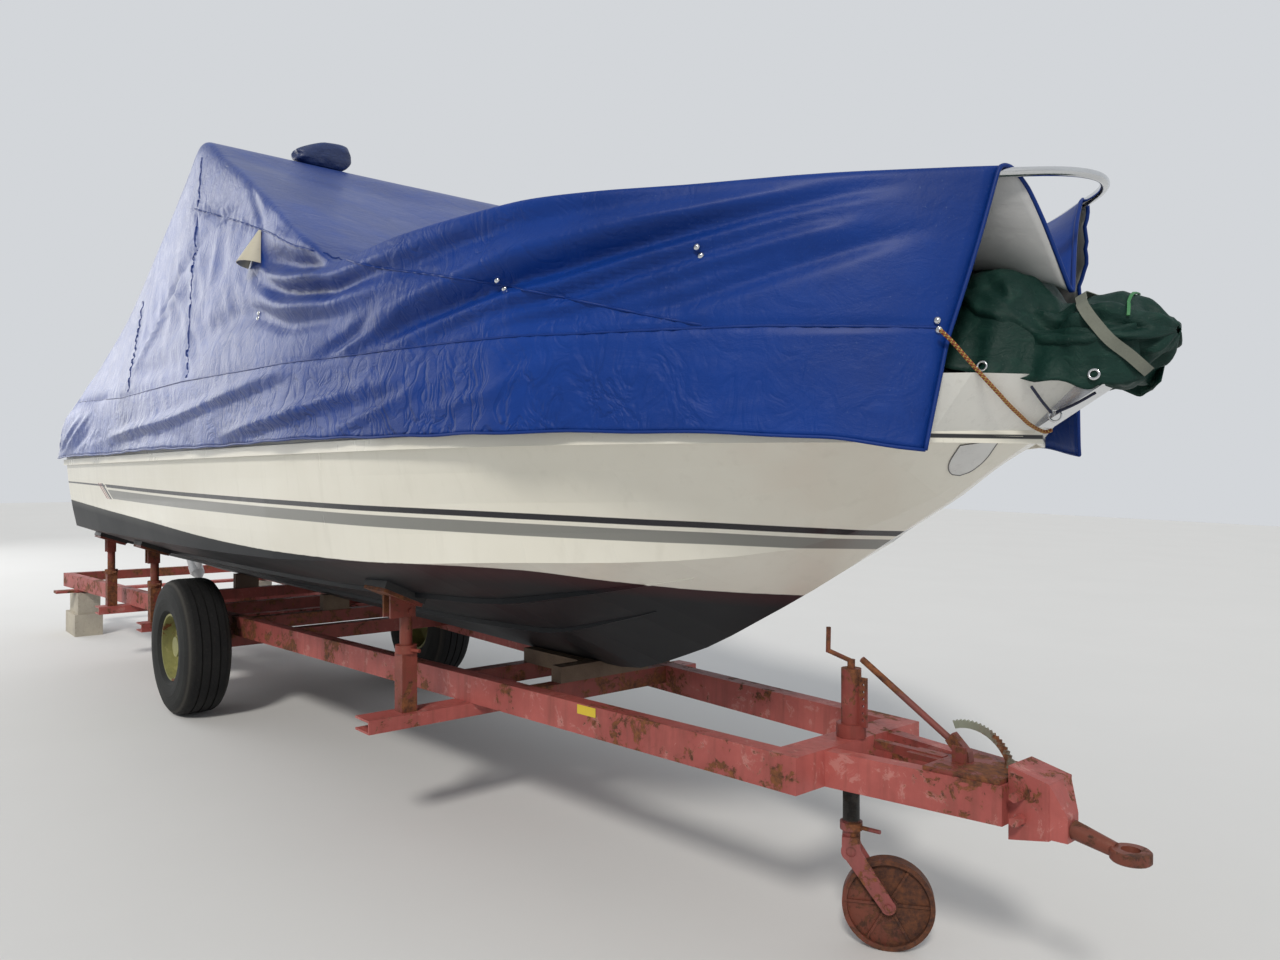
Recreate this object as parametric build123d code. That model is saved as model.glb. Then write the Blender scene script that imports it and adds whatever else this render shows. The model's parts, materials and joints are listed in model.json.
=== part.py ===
from build123d import *
import math
import os

# A covered sport cruiser on a two-wheel yard trailer. Millimetres.
# X runs to the bow, Y to port, Z up, with x = 0 on the axle's line. The trailer is built
# level. The boat, its rails and its covers are built with heights measured from the top of
# the trailer's frame, and are then lifted onto it. At the end the whole load is pitched
# bow-up about the axle, as it stands on its jockey wheel, and centred on its box.

# Stance and fits
parkPitch = 1.37          # degrees, bow up
fit = 0.4                 # gap between pieces that only touch
runGap = 0.6              # radial gap of turning fits

# Wheels and axle
axleZ = 422.5
tyreRadius = 422.5
tyreWidth = 290.0
trackWidth = 1680.0
rimRadius = 208.0
rimWidth = 230.0
rimWall = 14.0
hubRadius = 62.0
hubLength = 120.0
stubRadius = 24.0
grooveDepth = 9.0
grooveHalf = 5.0
lugCount = 34
lugDepth = 14.0
lugGap = 16.0
axleSize = 70.0
hangerLength = 220.0

# Trailer frame
beamTop = 600.0
beamHeight = 120.0
beamWidth = 70.0
frameFrontX = 4500.0
frameRearX = -3780.0
frameFrontHalf = 345.0
frameRearHalf = 860.0
frontMemberDepth = 115.0
barFrontX = 5060.0
barRearHalf = 200.0
barFrontHalf = 107.0
barWidth = 52.0
crossWidth = 70.0
crossHeight = 80.0
crossXs = (3100.0, 2620.0, 860.0, 250.0, -560.0, -1450.0, -3740.0)

# Towing head, heights from the top of the frame
headFrontX = 5180.0
headHalf = 80.0
headRise = 12.0
headDrop = 128.0
neckFrontX = 5216.0
neckWidth = 74.0
neckHeight = 66.0
neckDrop = 107.0
headBoltSize = 15.0
shankRadius = 27.0
eyeX = 5372.0
eyeDrop = 137.0
eyeOuter = 53.0
eyeHole = 25.0
eyeThick = 32.0

# Jockey wheel
jockeyX = 4457.0
outerTubeRadius = 34.0
innerTubeRadius = 28.5
outerTubeRise = 232.0     # above the frame
outerTubeDrop = 138.0     # below it
jockeyTrail = 122.0
jockeyFall = 175.0        # from the fork's pivot to the wheel's axle
jockeyHeading = 35.0
jockeyRadius = 152.5
jockeyWidth = 52.0
jockeyPin = 12.0
jockeyHub = 30.0
forkPlate = 8.0
forkGap = 6.0             # between wheel and fork
forkPivotRadius = 33.0

# Brake lever and its toothed quadrant
leverRadius = 11.0
leverLowX = 4858.0
leverTopX = 4502.0
quadrantX = 4882.0
quadrantRadius = 155.0
quadrantBand = 26.0
quadrantTeeth = 26
toothDepth = 6.0
saddleThick = 14.0

# Hull and deck, heights from the top of the trailer's frame
transomX = -2050.0
sheerZ = 1000.0
deckZ = 1162.0
roofRise = 210.0
# x, keel z, chine half width, chine z, sheer half width, topside bulge
hullStations = (
    (transomX, 102.0, 1082.0, 512.0, 1150.0, 10.0),
    (-700.0, 96.0, 1100.0, 504.0, 1163.0, 12.0),
    (700.0, 82.0, 1100.0, 502.0, 1165.0, 12.0),
    (1900.0, 68.0, 1098.0, 512.0, 1160.0, 8.0),
    (2700.0, 52.0, 1075.0, 542.0, 1145.0, 0.0),
    (3250.0, 56.0, 1020.0, 566.0, 1120.0, -14.0),
    (3700.0, 184.0, 890.0, 592.0, 1060.0, -24.0),
    (4080.0, 368.0, 640.0, 604.0, 965.0, -30.0),
    (4380.0, 532.0, 330.0, 636.0, 830.0, -30.0),
    (4640.0, 692.0, 130.0, 730.0, 655.0, -22.0),
    (4880.0, 838.0, 60.0, 852.0, 430.0, -12.0),
    (5040.0, 956.0, 28.0, 962.0, 215.0, -4.0),
    (5100.0, 990.0, 10.0, 992.0, 70.0, -1.0),
)
stemLap = 8.0             # how far the deck's point runs past the last station
flareX = 4100.0
bowTipX = 5292.0
strakeOut = 20.0
strakeHigh = 42.0
# front end x, share of the bottom's half width
sprayRails = ((4120.0, 0.70), (3840.0, 0.42))
sprayRailDepth = 20.0
sprayRailWidth = 46.0

# Rails and hoop
railZ = 1711.0
railRadius = 13.0
legRadius = 11.0
railSplit = 5             # rows of the rail's plan that belong to the pulpit
railAftHalf = 1108.0
# x, half width
railPlan = (
    (5288.0, 0.0), (5262.0, 95.0), (5150.0, 222.0), (4990.0, 372.0), (4821.0, 506.0), (4480.0, 752.0),
    (4224.0, 915.0), (3973.0, 1026.0), (3600.0, 1083.0), (3100.0, railAftHalf), (2900.0, railAftHalf),
)
# foot x, foot half width, top x, top half width
pulpitLegs = ((4760.0, 500.0, 4760.0, 550.0), (4930.0, 360.0, 4930.0, 421.0))
sideLegs = (
    (4440.0, 758.0, 4440.0, 778.0), (3900.0, 1000.0, 3900.0, 1043.0), (3400.0, 1070.0, 3400.0, 1098.0),
    (2960.0, 1100.0, 2960.0, railAftHalf),
)
hoopX = 790.0
hoopHalf = 980.0
hoopRadius = 24.0
hoopFootHalf = 1085.0
braceReach = 520.0
braceTop = 2100.0
braceRadius = 14.0

# Cover
coverRidge = 2755.0
coverThick = 11.0
hoopGap = 5.6             # between the hoop's bar and the cover
hoopTop = coverRidge - coverThick - hoopGap
railClear = 11.0          # between rail and cover
hemBeyondFold = 7.0
coverOff = 25.0           # fold beyond the rubbing strake
# x, ridge z, crest beyond the hoop's end, shoulder beyond it, shoulder z, fold z, hem z
coverStations = (
    (-2112.0, 1325.0, 20.0, 80.0, 1345.0, 1280.0, 1032.0),
    (-1800.0, 1505.0, 50.0, 105.0, 1520.0, 1330.0, 1034.0),
    (-1200.0, 1675.0, 50.0, 105.0, 1688.0, 1365.0, 1036.0),
    (-600.0, coverRidge - 855.0, 30.0, 90.0, coverRidge - 843.0, 1365.0, 1037.0),
    (0.0, coverRidge - 505.0, 0.0, 65.0, coverRidge - 493.0, 1360.0, 1037.0),
    (560.0, coverRidge - 115.0, -20.0, 32.0, coverRidge - 107.0, 1355.0, 1037.0),
    (hoopX, coverRidge, -30.0, 34.0, coverRidge, 1350.0, 1037.0),
    (1200.0, coverRidge - 235.0, -20.0, 42.0, coverRidge - 189.0, 1342.0, 1036.0),
    (1900.0, coverRidge - 635.0, 30.0, 86.0, coverRidge - 549.0, 1330.0, 1034.0),
)
# x, ridge z, shoulder z above the rail, fold z, hem beyond the fold, hem z, along the guard rails
railCoverRows = (
    (2550.0, 1820.0, 134.0, 1315.0, 8.0, 1032.0),
    (2900.0, 1730.0, 0.0, 1305.0, 8.0, 1031.0),
    (3300.0, 1670.0, 0.0, 1298.0, 8.0, 1028.0),
    (3600.0, 1640.0, 0.0, 1290.0, 8.0, 1026.0),
    (3973.0, 1610.0, 0.0, 1280.0, 8.0, 1020.0),
    (4224.0, 1590.0, 0.0, 1270.0, 10.0, 1015.0),
    (4480.0, 1565.0, 0.0, 1262.0, 14.0, 1006.0),
    (4821.0, 1530.0, 0.0, 1258.0, 22.0, 988.0),
    (4990.0, 1490.0, 0.0, 1258.0, 30.0, 960.0),
    (5150.0, 1440.0, 0.0, 1258.0, 50.0, 945.0),
)
coverFrontTop = 5150.0
coverFrontLow = 4985.0
# x, half width, low z, high z of the green cover over the anchor gear
bowCoverRows = (
    (4830.0, 150.0, 1205.0, 1450.0),
    (4990.0, 205.0, 1185.0, 1478.0),
    (5105.0, 222.0, 1165.0, 1440.0),
    (5195.0, 172.0, 1160.0, 1352.0),
    (5300.0, 198.0, 1122.0, 1372.0),
    (5410.0, 150.0, 1112.0, 1350.0),
    (5484.0, 62.0, 1172.0, 1298.0),
)
bowCoverSides = 18
ventX = 1944.0
ventZ = 1941.0
ventWidth = 84.0
ventHeight = 170.0
ventWall = 5.0
ventSink = 3.0            # its base is cut to the cover's slope
lampX = hoopX
lampY = -320.0
# height above the ridge, half length across, half width along
lampRows = ((0.0, 128.0, 52.0), (70.0, 184.0, 76.0), (118.0, 160.0, 72.0), (150.0, 104.0, 44.0))

# Stern drive, heights from the top of the trailer's frame
drivePivotX = -2235.0
drivePivotZ = 400.0
driveTilt = 40.0
steerPin = 14.0
tiltPin = 14.0
shieldHalf = 165.0
shieldThick = 36.0
steerLugHalf = 34.0
steerLugLow = 112.0
steerLugHigh = 142.0
legCentre = 190.0         # behind the pivot
plateDrop = 380.0
plateThick = 12.0
shaftDrop = 580.0
shaftRadius = 12.0
podRadius = 56.0
propRadius = 178.0
propHub = 46.0
bladeCount = 3
# radius, chord, thickness, pitch angle
bladeRows = ((38.0, 84.0, 13.0, 56.0), (85.0, 122.0, 10.0, 40.0), (135.0, 128.0, 7.0, 31.0),
             (propRadius - 2.0, 72.0, 4.0, 25.0))

# Supports under the hull
supportXs = (2680.0, -815.0, -1960.0)
# support x, arm half length, post half width, pad half width
supportRows = (
    (supportXs[0], 940.0, 740.0, 800.0),
    (supportXs[1], 940.0, 840.0, 862.0),
    (supportXs[2], 960.0, 860.0, 868.0),
)
armHeight = 58.0
armWidth = 130.0
armWall = 9.0
rearArmX = -3370.0
rearArmHalf = 1000.0
rearArmHeight = 22.0
postWidth = 70.0
postHeight = 250.0
pistonWidth = 54.0
collarRadius = 46.0
collarHeight = 35.0
padSize = 200.0
padThick = 30.0
padPlate = 14.0
# keel block x, length, half width
keelBlocks = ((3100.0, 70.0, 250.0), (2830.0, 420.0, 90.0), (250.0, 60.0, 90.0), (-1450.0, 60.0, 90.0))
# block stack: low and high x, half width, height of the lower block
stackLowX = -3590.0
stackHighX = -3200.0
stackHalf = 110.0
stackStep = 190.0
stackInset = 28.0


def block(x0, x1, y0, y1, z0, z1):
    return Pos((x0 + x1) / 2, (y0 + y1) / 2, (z0 + z1) / 2) * Box(x1 - x0, y1 - y0, z1 - z0)


def rod(p, q, r0, r1=None):
    # round bar, or a taper, from point p to point q
    a, b = Vector(*p), Vector(*q)
    plane = Plane(origin=a, z_dir=(b - a))
    if r1 is None or abs(r1 - r0) < 1e-6:
        return Solid.make_cylinder(r0, (b - a).length, plane)
    return Solid.make_cone(r0, r1, (b - a).length, plane)


def prism(points, z0, z1):
    # flat outline in plan, raised from z0 to z1
    face = make_face(Polyline(*[(x, y, z0) for x, y in points], close=True))
    return extrude(face, amount=z1 - z0, dir=(0, 0, 1))


def sidePlate(points, y0, y1):
    # outline in the XZ plane, thickened from y0 to y1
    face = make_face(Polyline(*[(x, y0, z) for x, z in points], close=True))
    return extrude(face, amount=y1 - y0, dir=(0, 1, 0))


def joined(shapes):
    first = shapes[0]
    rest = shapes[1:]
    return first.fuse(*rest) if rest else first


def cut(shape, tools):
    for tool in tools:
        shape = shape - tool
    return shape


def gathered(shapes):
    return Compound(children=[solid for shape in shapes for solid in shape.solids()])


def mirrored(shape):
    return mirror(shape, about=Plane.XZ)


def both(shape):
    return gathered([shape, mirrored(shape)])


def beamOuter(x):
    share = (frameFrontX - x) / (frameFrontX - frameRearX)
    return frameFrontHalf + share * (frameRearHalf - frameFrontHalf)


def beamInner(x):
    return beamOuter(x) - beamWidth


def smoothRow(rows, x):
    # a table's other columns at x, eased between rows without overshoot
    rows = sorted(rows)
    x = min(max(x, rows[0][0]), rows[-1][0])
    i = max(k for k in range(len(rows) - 1) if rows[k][0] <= x)
    span = rows[i + 1][0] - rows[i][0]
    t = (x - rows[i][0]) / span
    values = []
    for col in range(1, len(rows[0])):
        rises = [(b[col] - a[col]) / (b[0] - a[0]) for a, b in zip(rows, rows[1:])]
        ends = []
        for k in (i, i + 1):
            before, after = rises[max(k - 1, 0)], rises[min(k, len(rises) - 1)]
            ends.append(0.0 if before * after <= 0 else 2 * before * after / (before + after))
        a, b = rows[i][col], rows[i + 1][col]
        values.append(a * (1 + 2 * t) * (1 - t) ** 2 + b * t * t * (3 - 2 * t)
                      + span * t * (1 - t) * (ends[0] * (1 - t) - ends[1] * t))
    return values


def pitchSin():
    return math.sin(math.radians(parkPitch))


def pitchCos():
    return math.cos(math.radians(parkPitch))


def jockeyHubZ():
    # height at which the pitched jockey wheel just meets the ground under the tyres
    lean = math.asin(math.sin(math.radians(jockeyHeading)) * pitchSin())
    reach = jockeyRadius * math.cos(lean) + jockeyWidth / 2 * math.sin(lean)
    x = jockeyX + jockeyTrail * math.cos(math.radians(jockeyHeading))
    return axleZ + (reach - tyreRadius - x * pitchSin()) / pitchCos()


# Hull and deck

def stationXs():
    # closer together where the bow curves
    noseX, bendX = hullStations[-1][0], hullStations[4][0]
    aft = [transomX + k * (bendX - transomX) / 8 for k in range(8)]
    return aft + [bendX + k * (noseX - bendX) / 18 for k in range(19)]


def hullSection(x):
    keelZ, chineY, chineZ, sheerY, bulge = smoothRow(hullStations, x)
    midY, midZ = (chineY + sheerY) / 2 + bulge, (chineZ + sheerZ) / 2
    side = [(x, chineY, chineZ), (x, (chineY + midY) / 2 + bulge / 4, (chineZ + midZ) / 2), (x, midY, midZ),
            (x, (sheerY + midY) / 2 + bulge / 4, (sheerZ + midZ) / 2), (x, sheerY, sheerZ)]
    other = [(x, -y, z) for x, y, z in reversed(side)]
    return make_face(Polyline((x, 0, keelZ), *side, *other, close=True))


def sprayRail(frontX, share):
    # three-cornered strip under the bottom that fades out forward
    faces = []
    for x in [x for x in stationXs() if x < frontX] + [frontX]:
        keelZ, chineY, chineZ = smoothRow(hullStations, x)[:3]
        rise = (chineZ - keelZ) / chineY
        ease = min(1.0, (frontX - x) / 700.0 + 0.12)
        y = chineY * share
        wide, deep = sprayRailWidth * ease, sprayRailDepth * ease
        sink = 6.0
        faces.append(make_face(Polyline(
            (x, y - wide, keelZ + rise * (y - wide) + sink), (x, y - wide, keelZ + rise * (y - wide) - 1.0),
            (x, y, keelZ + rise * y - deep), (x, y, keelZ + rise * y + sink), close=True)))
    return loft(faces, ruled=True)


def makeHull():
    hull = loft([hullSection(x) for x in stationXs()], ruled=True)
    strips = [sprayRail(frontX, share) for frontX, share in sprayRails]
    return joined([hull] + strips + [mirrored(strip) for strip in strips])


def sheerHalfAt(x):
    return smoothRow(hullStations, x)[3]


def noseX():
    return hullStations[-1][0] + stemLap


def sheerPlan(extra, tip):
    # plan outline of the sheer, set out by extra, its point at tip
    side = [(x, sheerHalfAt(x) + extra) for x in stationXs()[:-1]]
    return side + [(tip, 0.0)] + [(x, -y) for x, y in reversed(side)]


def flaredPlan():
    # the deck edge runs further forward than the sheer at the bow
    side = []
    for x, y in sheerPlan(0.0, noseX()):
        ease = max(0.0, (x - flareX) / (noseX() - flareX)) ** 2
        side.append((x + ease * (bowTipX - noseX()), y * (1 + 0.06 * ease)))
    return side


def deckHalfAt(x):
    # half width of the deck edge at x
    plan = [p for p in flaredPlan() if p[1] >= 0]
    for (x0, y0), (x1, y1) in zip(plan, plan[1:]):
        if x0 <= x <= x1:
            return y0 + (y1 - y0) * (x - x0) / (x1 - x0)
    return 0.0


def planFace(points, z):
    return make_face(Polyline(*[(x, y, z) for x, y in points], close=True))


def roofPlan(inset):
    # x, half width of the coachroof
    half = [(1500.0, 760.0), (3300.0, 700.0), (4350.0, 330.0)]
    half = [(x + (inset if x < 2000 else -1.6 * inset), y - inset) for x, y in half]
    return half + [(x, -y) for x, y in reversed(half)]


def makeDeck():
    low = planFace(sheerPlan(0.0, noseX()), sheerZ)
    deck = loft([low, planFace(flaredPlan(), deckZ)], ruled=True)
    roof = loft([planFace(roofPlan(0.0), deckZ - 5), planFace(roofPlan(55.0), deckZ + roofRise)], ruled=True)
    return deck.fuse(roof)


def makeStrake():
    z0 = sheerZ - strakeHigh / 2
    outer = planFace(sheerPlan(strakeOut, noseX() + strakeOut), z0)
    inner = planFace(sheerPlan(fit, noseX() + fit), z0 - 5)
    outer = extrude(outer, amount=strakeHigh, dir=(0, 0, 1))
    inner = extrude(inner, amount=strakeHigh + 10, dir=(0, 0, 1))
    wide = hullStations[0][4]
    stern = block(transomX - 4 * strakeOut, transomX + 1, -wide, wide, z0 - 10, z0 + strakeHigh + 10)
    return outer - inner - stern


def makeStemPlate(hull, deck):
    # stainless anchor fitting over the bow's point
    x, low = bowTipX, deckZ - 10
    outline = [(x - 207, low - 112), (x - 157, low - 127), (x + 53, low), (x + 53, low + 33),
               (x - 2, low + 38), (x - 92, low - 17)]
    return sidePlate(outline, -42, 42) - hull - deck


# Rails and hoop

def railPath(points):
    return Spline(*[(x, y, railZ) for x, y in points])


def tubeAlong(path, radius):
    start = path @ 0
    return sweep(Plane(origin=start, z_dir=path % 0) * Circle(radius), path=path)


def railLegs(rows, side):
    return [rod((x0, side * y0, deckZ + fit), (x1, side * y1, railZ), legRadius) for x0, y0, x1, y1 in rows]


def makePulpit():
    half = list(railPlan[:railSplit + 1])
    points = list(reversed(half)) + [(x, -y) for x, y in half[1:]]
    bow = tubeAlong(railPath(points), railRadius)
    return joined([bow] + railLegs(pulpitLegs, 1) + railLegs(pulpitLegs, -1))


def makeSideRails():
    points = list(railPlan[railSplit:])
    x, y = points[0]
    points[0] = (x - 3, y + 3)
    return joined([tubeAlong(railPath(points), railRadius)] + railLegs(sideLegs, 1))


def hoopBarZ():
    return hoopTop - hoopRadius


def makeHoopBar():
    return rod((hoopX, -hoopHalf, hoopBarZ()), (hoopX, hoopHalf, hoopBarZ()), hoopRadius)


def makeHoopLegs():
    foot, head = (hoopX, hoopFootHalf, deckZ + fit), (hoopX, hoopHalf - 30, hoopBarZ() - hoopRadius)
    share = (braceTop - foot[2]) / (head[2] - foot[2])
    meetY = foot[1] + share * (head[1] - foot[1])
    brace = rod((hoopX + braceReach, hoopFootHalf - 15, deckZ + fit), (hoopX, meetY, braceTop), braceRadius)
    return rod(foot, head, hoopRadius - 2).fuse(brace)


# Soft covers

def railHalfAt(x):
    return smoothRow(railPlan, x)[0]


def coverRows():
    # x, ridge z, crest half, shoulder half, shoulder z, fold half, fold z, hem half, hem z
    rows = []
    for x, ridge, crest, shoulder, shoulderZ, foldZ, hemZ in coverStations:
        fold = sheerHalfAt(x) + strakeOut + (coverOff if x > transomX else 2.0)
        hem = fold + (hemBeyondFold if x > transomX else coverOff)
        rows.append([x, ridge, hoopHalf + crest, hoopHalf + shoulder, shoulderZ, fold, foldZ, hem, hemZ])
    top = railZ + railRadius + coverThick + railClear
    reach = railRadius + coverThick + railClear
    for x, ridge, above, foldZ, hemOut, hemZ in railCoverRows:
        rail = railHalfAt(x)
        fold = max(rail + reach + 4, deckHalfAt(x) + coverThick + 8,
                   sheerHalfAt(x) + strakeOut + coverThick + 6)
        rows.append([x, ridge, rail - 16, rail + reach, top + above, fold, foldZ, fold + hemOut, hemZ])
    return rows


def coverSection(row, inset, drop):
    x, ridge, crestY, shoulderY, shoulderZ, foldY, foldZ, hemY, hemZ = row
    t = inset
    side = [(x, crestY - t * 0.5, shoulderZ - t), (x, shoulderY - t, shoulderZ - t),
            (x, foldY - t, foldZ), (x, hemY - t, hemZ - drop)]
    other = [(x, -y, z) for x, y, z in reversed(side)]
    return make_face(Polyline((x, 0, ridge - t), *side, *other, close=True))


def makeCover():
    rows = coverRows()
    outer = loft([coverSection(row, 0.0, 0.0) for row in rows], ruled=True)
    rows[0][0] += coverThick
    inner = loft([coverSection(row, coverThick, 60.0) for row in rows], ruled=True)
    high, low = coverFrontTop - 2, coverFrontLow
    tall, deep, beyond = railZ + 109, hullStations[-1][1] - 90, coverFrontTop + 450
    front = sidePlate([(high, tall), (high, tall - 100), (low, deep), (low, deep - 200),
                       (beyond, deep - 200), (beyond, tall)], -900, 900)
    return outer - inner - front


def makeBowCover():
    faces = []
    for x, half, low, high in bowCoverRows:
        turns = [2 * math.pi * k / bowCoverSides for k in range(bowCoverSides)]
        ring = [(x, half * math.cos(a), (low + high + (high - low) * math.sin(a)) / 2) for a in turns]
        faces.append(make_face(Polyline(*ring, close=True)))
    return loft(faces, ruled=True)


def makeVent():
    # hood that hangs on the starboard slope: half a cone with its mouth down
    row = smoothRow(coverRows(), ventX)
    shoulderY, shoulderZ, foldY, foldZ = row[2], row[3], row[4], row[5]
    share = (shoulderZ - ventZ) / (shoulderZ - foldZ)
    skinY = shoulderY + share * (foldY - shoulderY)
    lean = math.degrees(math.atan2(foldY - shoulderY, shoulderZ - foldZ))
    half = ventHeight / 2
    outer = rod((0, -half, 0), (0, half, 0), ventWidth, 12.0)
    inner = rod((0, -half - 1, 0), (0, half - 4 * ventWall, 0), ventWidth - ventWall, 4.0)
    reach = ventWidth + 10
    hood = (outer - inner) & block(-reach, reach, -half - 1, half + 1, 0, reach)
    return Pos(ventX, -skinY + ventSink, ventZ) * Rot(90 - lean, 0, 0) * hood


def makeLampBag():
    # crumpled bag over the light on the hoop, as flat rings
    faces = []
    for rise, halfY, halfX in lampRows:
        z = coverRidge + fit + rise
        ring = [(halfX, halfY * 0.6), (halfX * 0.7, halfY), (-halfX * 0.8, halfY * 0.9),
                (-halfX, -halfY * 0.5), (-halfX * 0.6, -halfY), (halfX * 0.9, -halfY * 0.85)]
        faces.append(make_face(Polyline(*[(lampX + x, lampY + y, z) for x, y in ring], close=True)))
    return loft(faces, ruled=True)


# Trailer

def makeBeam():
    x0, x1 = frameRearX, frameFrontX
    return prism([(x0, beamOuter(x0)), (x1, beamOuter(x1)), (x1, beamInner(x1)), (x0, beamInner(x0))],
                 beamTop - beamHeight, beamTop)


def acrossBeams(x0, x1, z0, z1):
    y0, y1 = beamInner(x0), beamInner(x1)
    return prism([(x0, y0), (x1, y1), (x1, -y1), (x0, -y0)], z0, z1)


def makeFrontMember():
    box = acrossBeams(frameFrontX - frontMemberDepth, frameFrontX, beamTop - beamHeight, beamTop)
    low, high = beamTop - beamHeight - 80, beamTop + 100
    return box - rod((jockeyX, 0, low), (jockeyX, 0, high), outerTubeRadius + fit)


def makeCrossMembers():
    half, low = crossWidth / 2, beamTop - crossHeight
    return gathered([acrossBeams(x - half, x + half, low, beamTop) for x in crossXs])


def makeDrawbar():
    x0, x1 = frameFrontX, barFrontX
    rail = prism([(x0, barRearHalf), (x1, barFrontHalf), (x1, barFrontHalf - barWidth),
                  (x0, barRearHalf - barWidth)], beamTop - beamHeight, beamTop - 4)
    return both(rail)


def makeHead():
    low, high = beamTop - headDrop, beamTop + headRise
    middle = (low + high) / 2
    base = Plane(origin=(barFrontX, 0, middle), z_dir=(1, 0, 0))
    tip = Plane(origin=(headFrontX, 0, middle), z_dir=(1, 0, 0))
    neck = Plane(origin=(neckFrontX, 0, beamTop - neckDrop), z_dir=(1, 0, 0))
    body = loft([base * Rectangle(2 * barFrontHalf, high - low), tip * Rectangle(2 * headHalf, high - low)],
                ruled=True)
    cone = loft([tip * Rectangle(2 * headHalf - 8, high - low - 8), neck * Rectangle(neckWidth, neckHeight)],
                ruled=True)
    bolts = []
    boltX = (barFrontX + headFrontX) / 2 - 20
    for side in (1, -1):
        for z in (low + 33, high - 37):
            at = Plane(origin=(boltX, side * (headHalf - 10), z), z_dir=(0, side, 0))
            bolts.append(extrude(at * RegularPolygon(headBoltSize, 6), amount=48))
    return joined([body, cone] + bolts)


def makeEye():
    eyeZ = beamTop - eyeDrop
    back, front = (neckFrontX, 0, eyeZ + 28), (eyeX - eyeOuter + 12, 0, eyeZ + 3)
    shank = rod(back, front, shankRadius, shankRadius - 6)
    ring = Pos(eyeX, 0, eyeZ) * Cylinder(eyeOuter, eyeThick)
    ring = chamfer(ring.edges(), 4)
    hole = Pos(eyeX, 0, eyeZ) * Cylinder(eyeHole, eyeThick * 3)
    return shank.fuse(ring) - hole


def makeAxle():
    inner = trackWidth / 2 - rimWidth / 2
    low, high = axleZ - axleSize / 2, axleZ + axleSize / 2
    bar = block(-axleSize / 2, axleSize / 2, -inner + 30, inner - 30, low, high)
    reach = trackWidth / 2 + 55
    stub = rod((0, -reach, axleZ), (0, reach, axleZ), stubRadius)
    y = beamOuter(0) - beamWidth / 2
    hangers = [block(-hangerLength / 2, hangerLength / 2, side * y - 30, side * y + 30, high - 1,
                     beamTop - beamHeight) for side in (1, -1)]
    return joined([bar, stub] + hangers)


def makeTyre():
    half = tyreWidth / 2
    crown = []
    for y in (-52.0, 0.0, 52.0):
        # a groove round the tread
        crown += [(0, y - grooveHalf, tyreRadius), (0, y - grooveHalf + 1, tyreRadius - grooveDepth),
                  (0, y + grooveHalf - 1, tyreRadius - grooveDepth), (0, y + grooveHalf, tyreRadius)]
    low = [(0, rimWidth / 2 - 8, rimRadius + fit), (0, half - 10, rimRadius + 22),
           (0, half - 2, rimRadius + 66), (0, half, tyreRadius - 122), (0, half - 8, tyreRadius - 66),
           (0, half - 20, tyreRadius - 34), (0, half - 34, tyreRadius - 14), (0, half - 56, tyreRadius - 4)]
    right = list(reversed(low))
    left = [(x, -y, z) for x, y, z in low]
    tyre = revolve(make_face(Polyline(*left, *crown, *right, close=True)), axis=Axis.Y)
    # notches between the shoulder lugs, as two rings of blocks
    notches = []
    for k in range(lugCount):
        for side, offset in ((1, 0.5), (-1, 0.0)):
            turn = Rot(0, 360.0 * (k + offset) / lugCount, 0)
            notch = Rot(-28 * side, 0, 0) * Box(lugGap, 74, 2 * lugDepth)
            notches.append(turn * Pos(0, side * (half - 26), tyreRadius - 4) * notch)
    return tyre.cut(*notches)


def makeRim():
    across = Rot(90, 0, 0)
    barrel = across * (Cylinder(rimRadius, rimWidth) - Cylinder(rimRadius - rimWall, rimWidth * 2))
    disc = Pos(0, 30, 0) * across * Cylinder(rimRadius - rimWall + 2, 14)
    hub = Pos(0, 30, 0) * across * Cylinder(hubRadius, hubLength)
    bore = across * Pos(0, 0, 12) * Cylinder(stubRadius + runGap, 180)
    studs = [Pos(0, 46, 0) * Rot(0, 60 * k, 0) * Pos(0, 0, 1.55 * hubRadius) * across * Cylinder(13, 24)
             for k in range(6)]
    return joined([barrel, disc, hub] + studs) - bore


def makeJockeyTube():
    low, high = beamTop - outerTubeDrop, beamTop + outerTubeRise
    tube = rod((jockeyX, 0, low), (jockeyX, 0, high), outerTubeRadius)
    tube = tube - rod((jockeyX, 0, low - 5), (jockeyX, 0, high - 12), innerTubeRadius + runGap)
    sleeve = rod((jockeyX, 0, beamTop + fit), (jockeyX, 0, beamTop + 46), outerTubeRadius + 16)
    sleeve = sleeve - rod((jockeyX, 0, beamTop - 50), (jockeyX, 0, beamTop + 100), outerTubeRadius - 2)
    x = jockeyX + outerTubeRadius
    strip = block(x - 4, x + 30, -5, 5, beamTop + 40, high - 26)
    holes = [rod((x + 17, -10, z), (x + 17, 10, z), 5) for z in
             [beamTop + 62 + 24 * k for k in range(6)]]
    return joined([tube, sleeve, cut(strip, holes)])


def makeCrank():
    top = beamTop + outerTubeRise
    neck = rod((jockeyX, 0, top + fit), (jockeyX, 0, top + 30), 13)
    knee = (jockeyX - 52, -59, top + 60)
    arm = rod((jockeyX, 0, top + 24), knee, 8)
    grip = rod((knee[0], knee[1], knee[2] - 6), (knee[0] + 2, knee[1], knee[2] + 80), 8)
    return joined([neck, arm, grip])


def turned(shape):
    # from the fork's own frame, +X along the trail, to its parked heading
    return Pos(jockeyX, 0, 0) * Rot(0, 0, jockeyHeading) * shape


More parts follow.
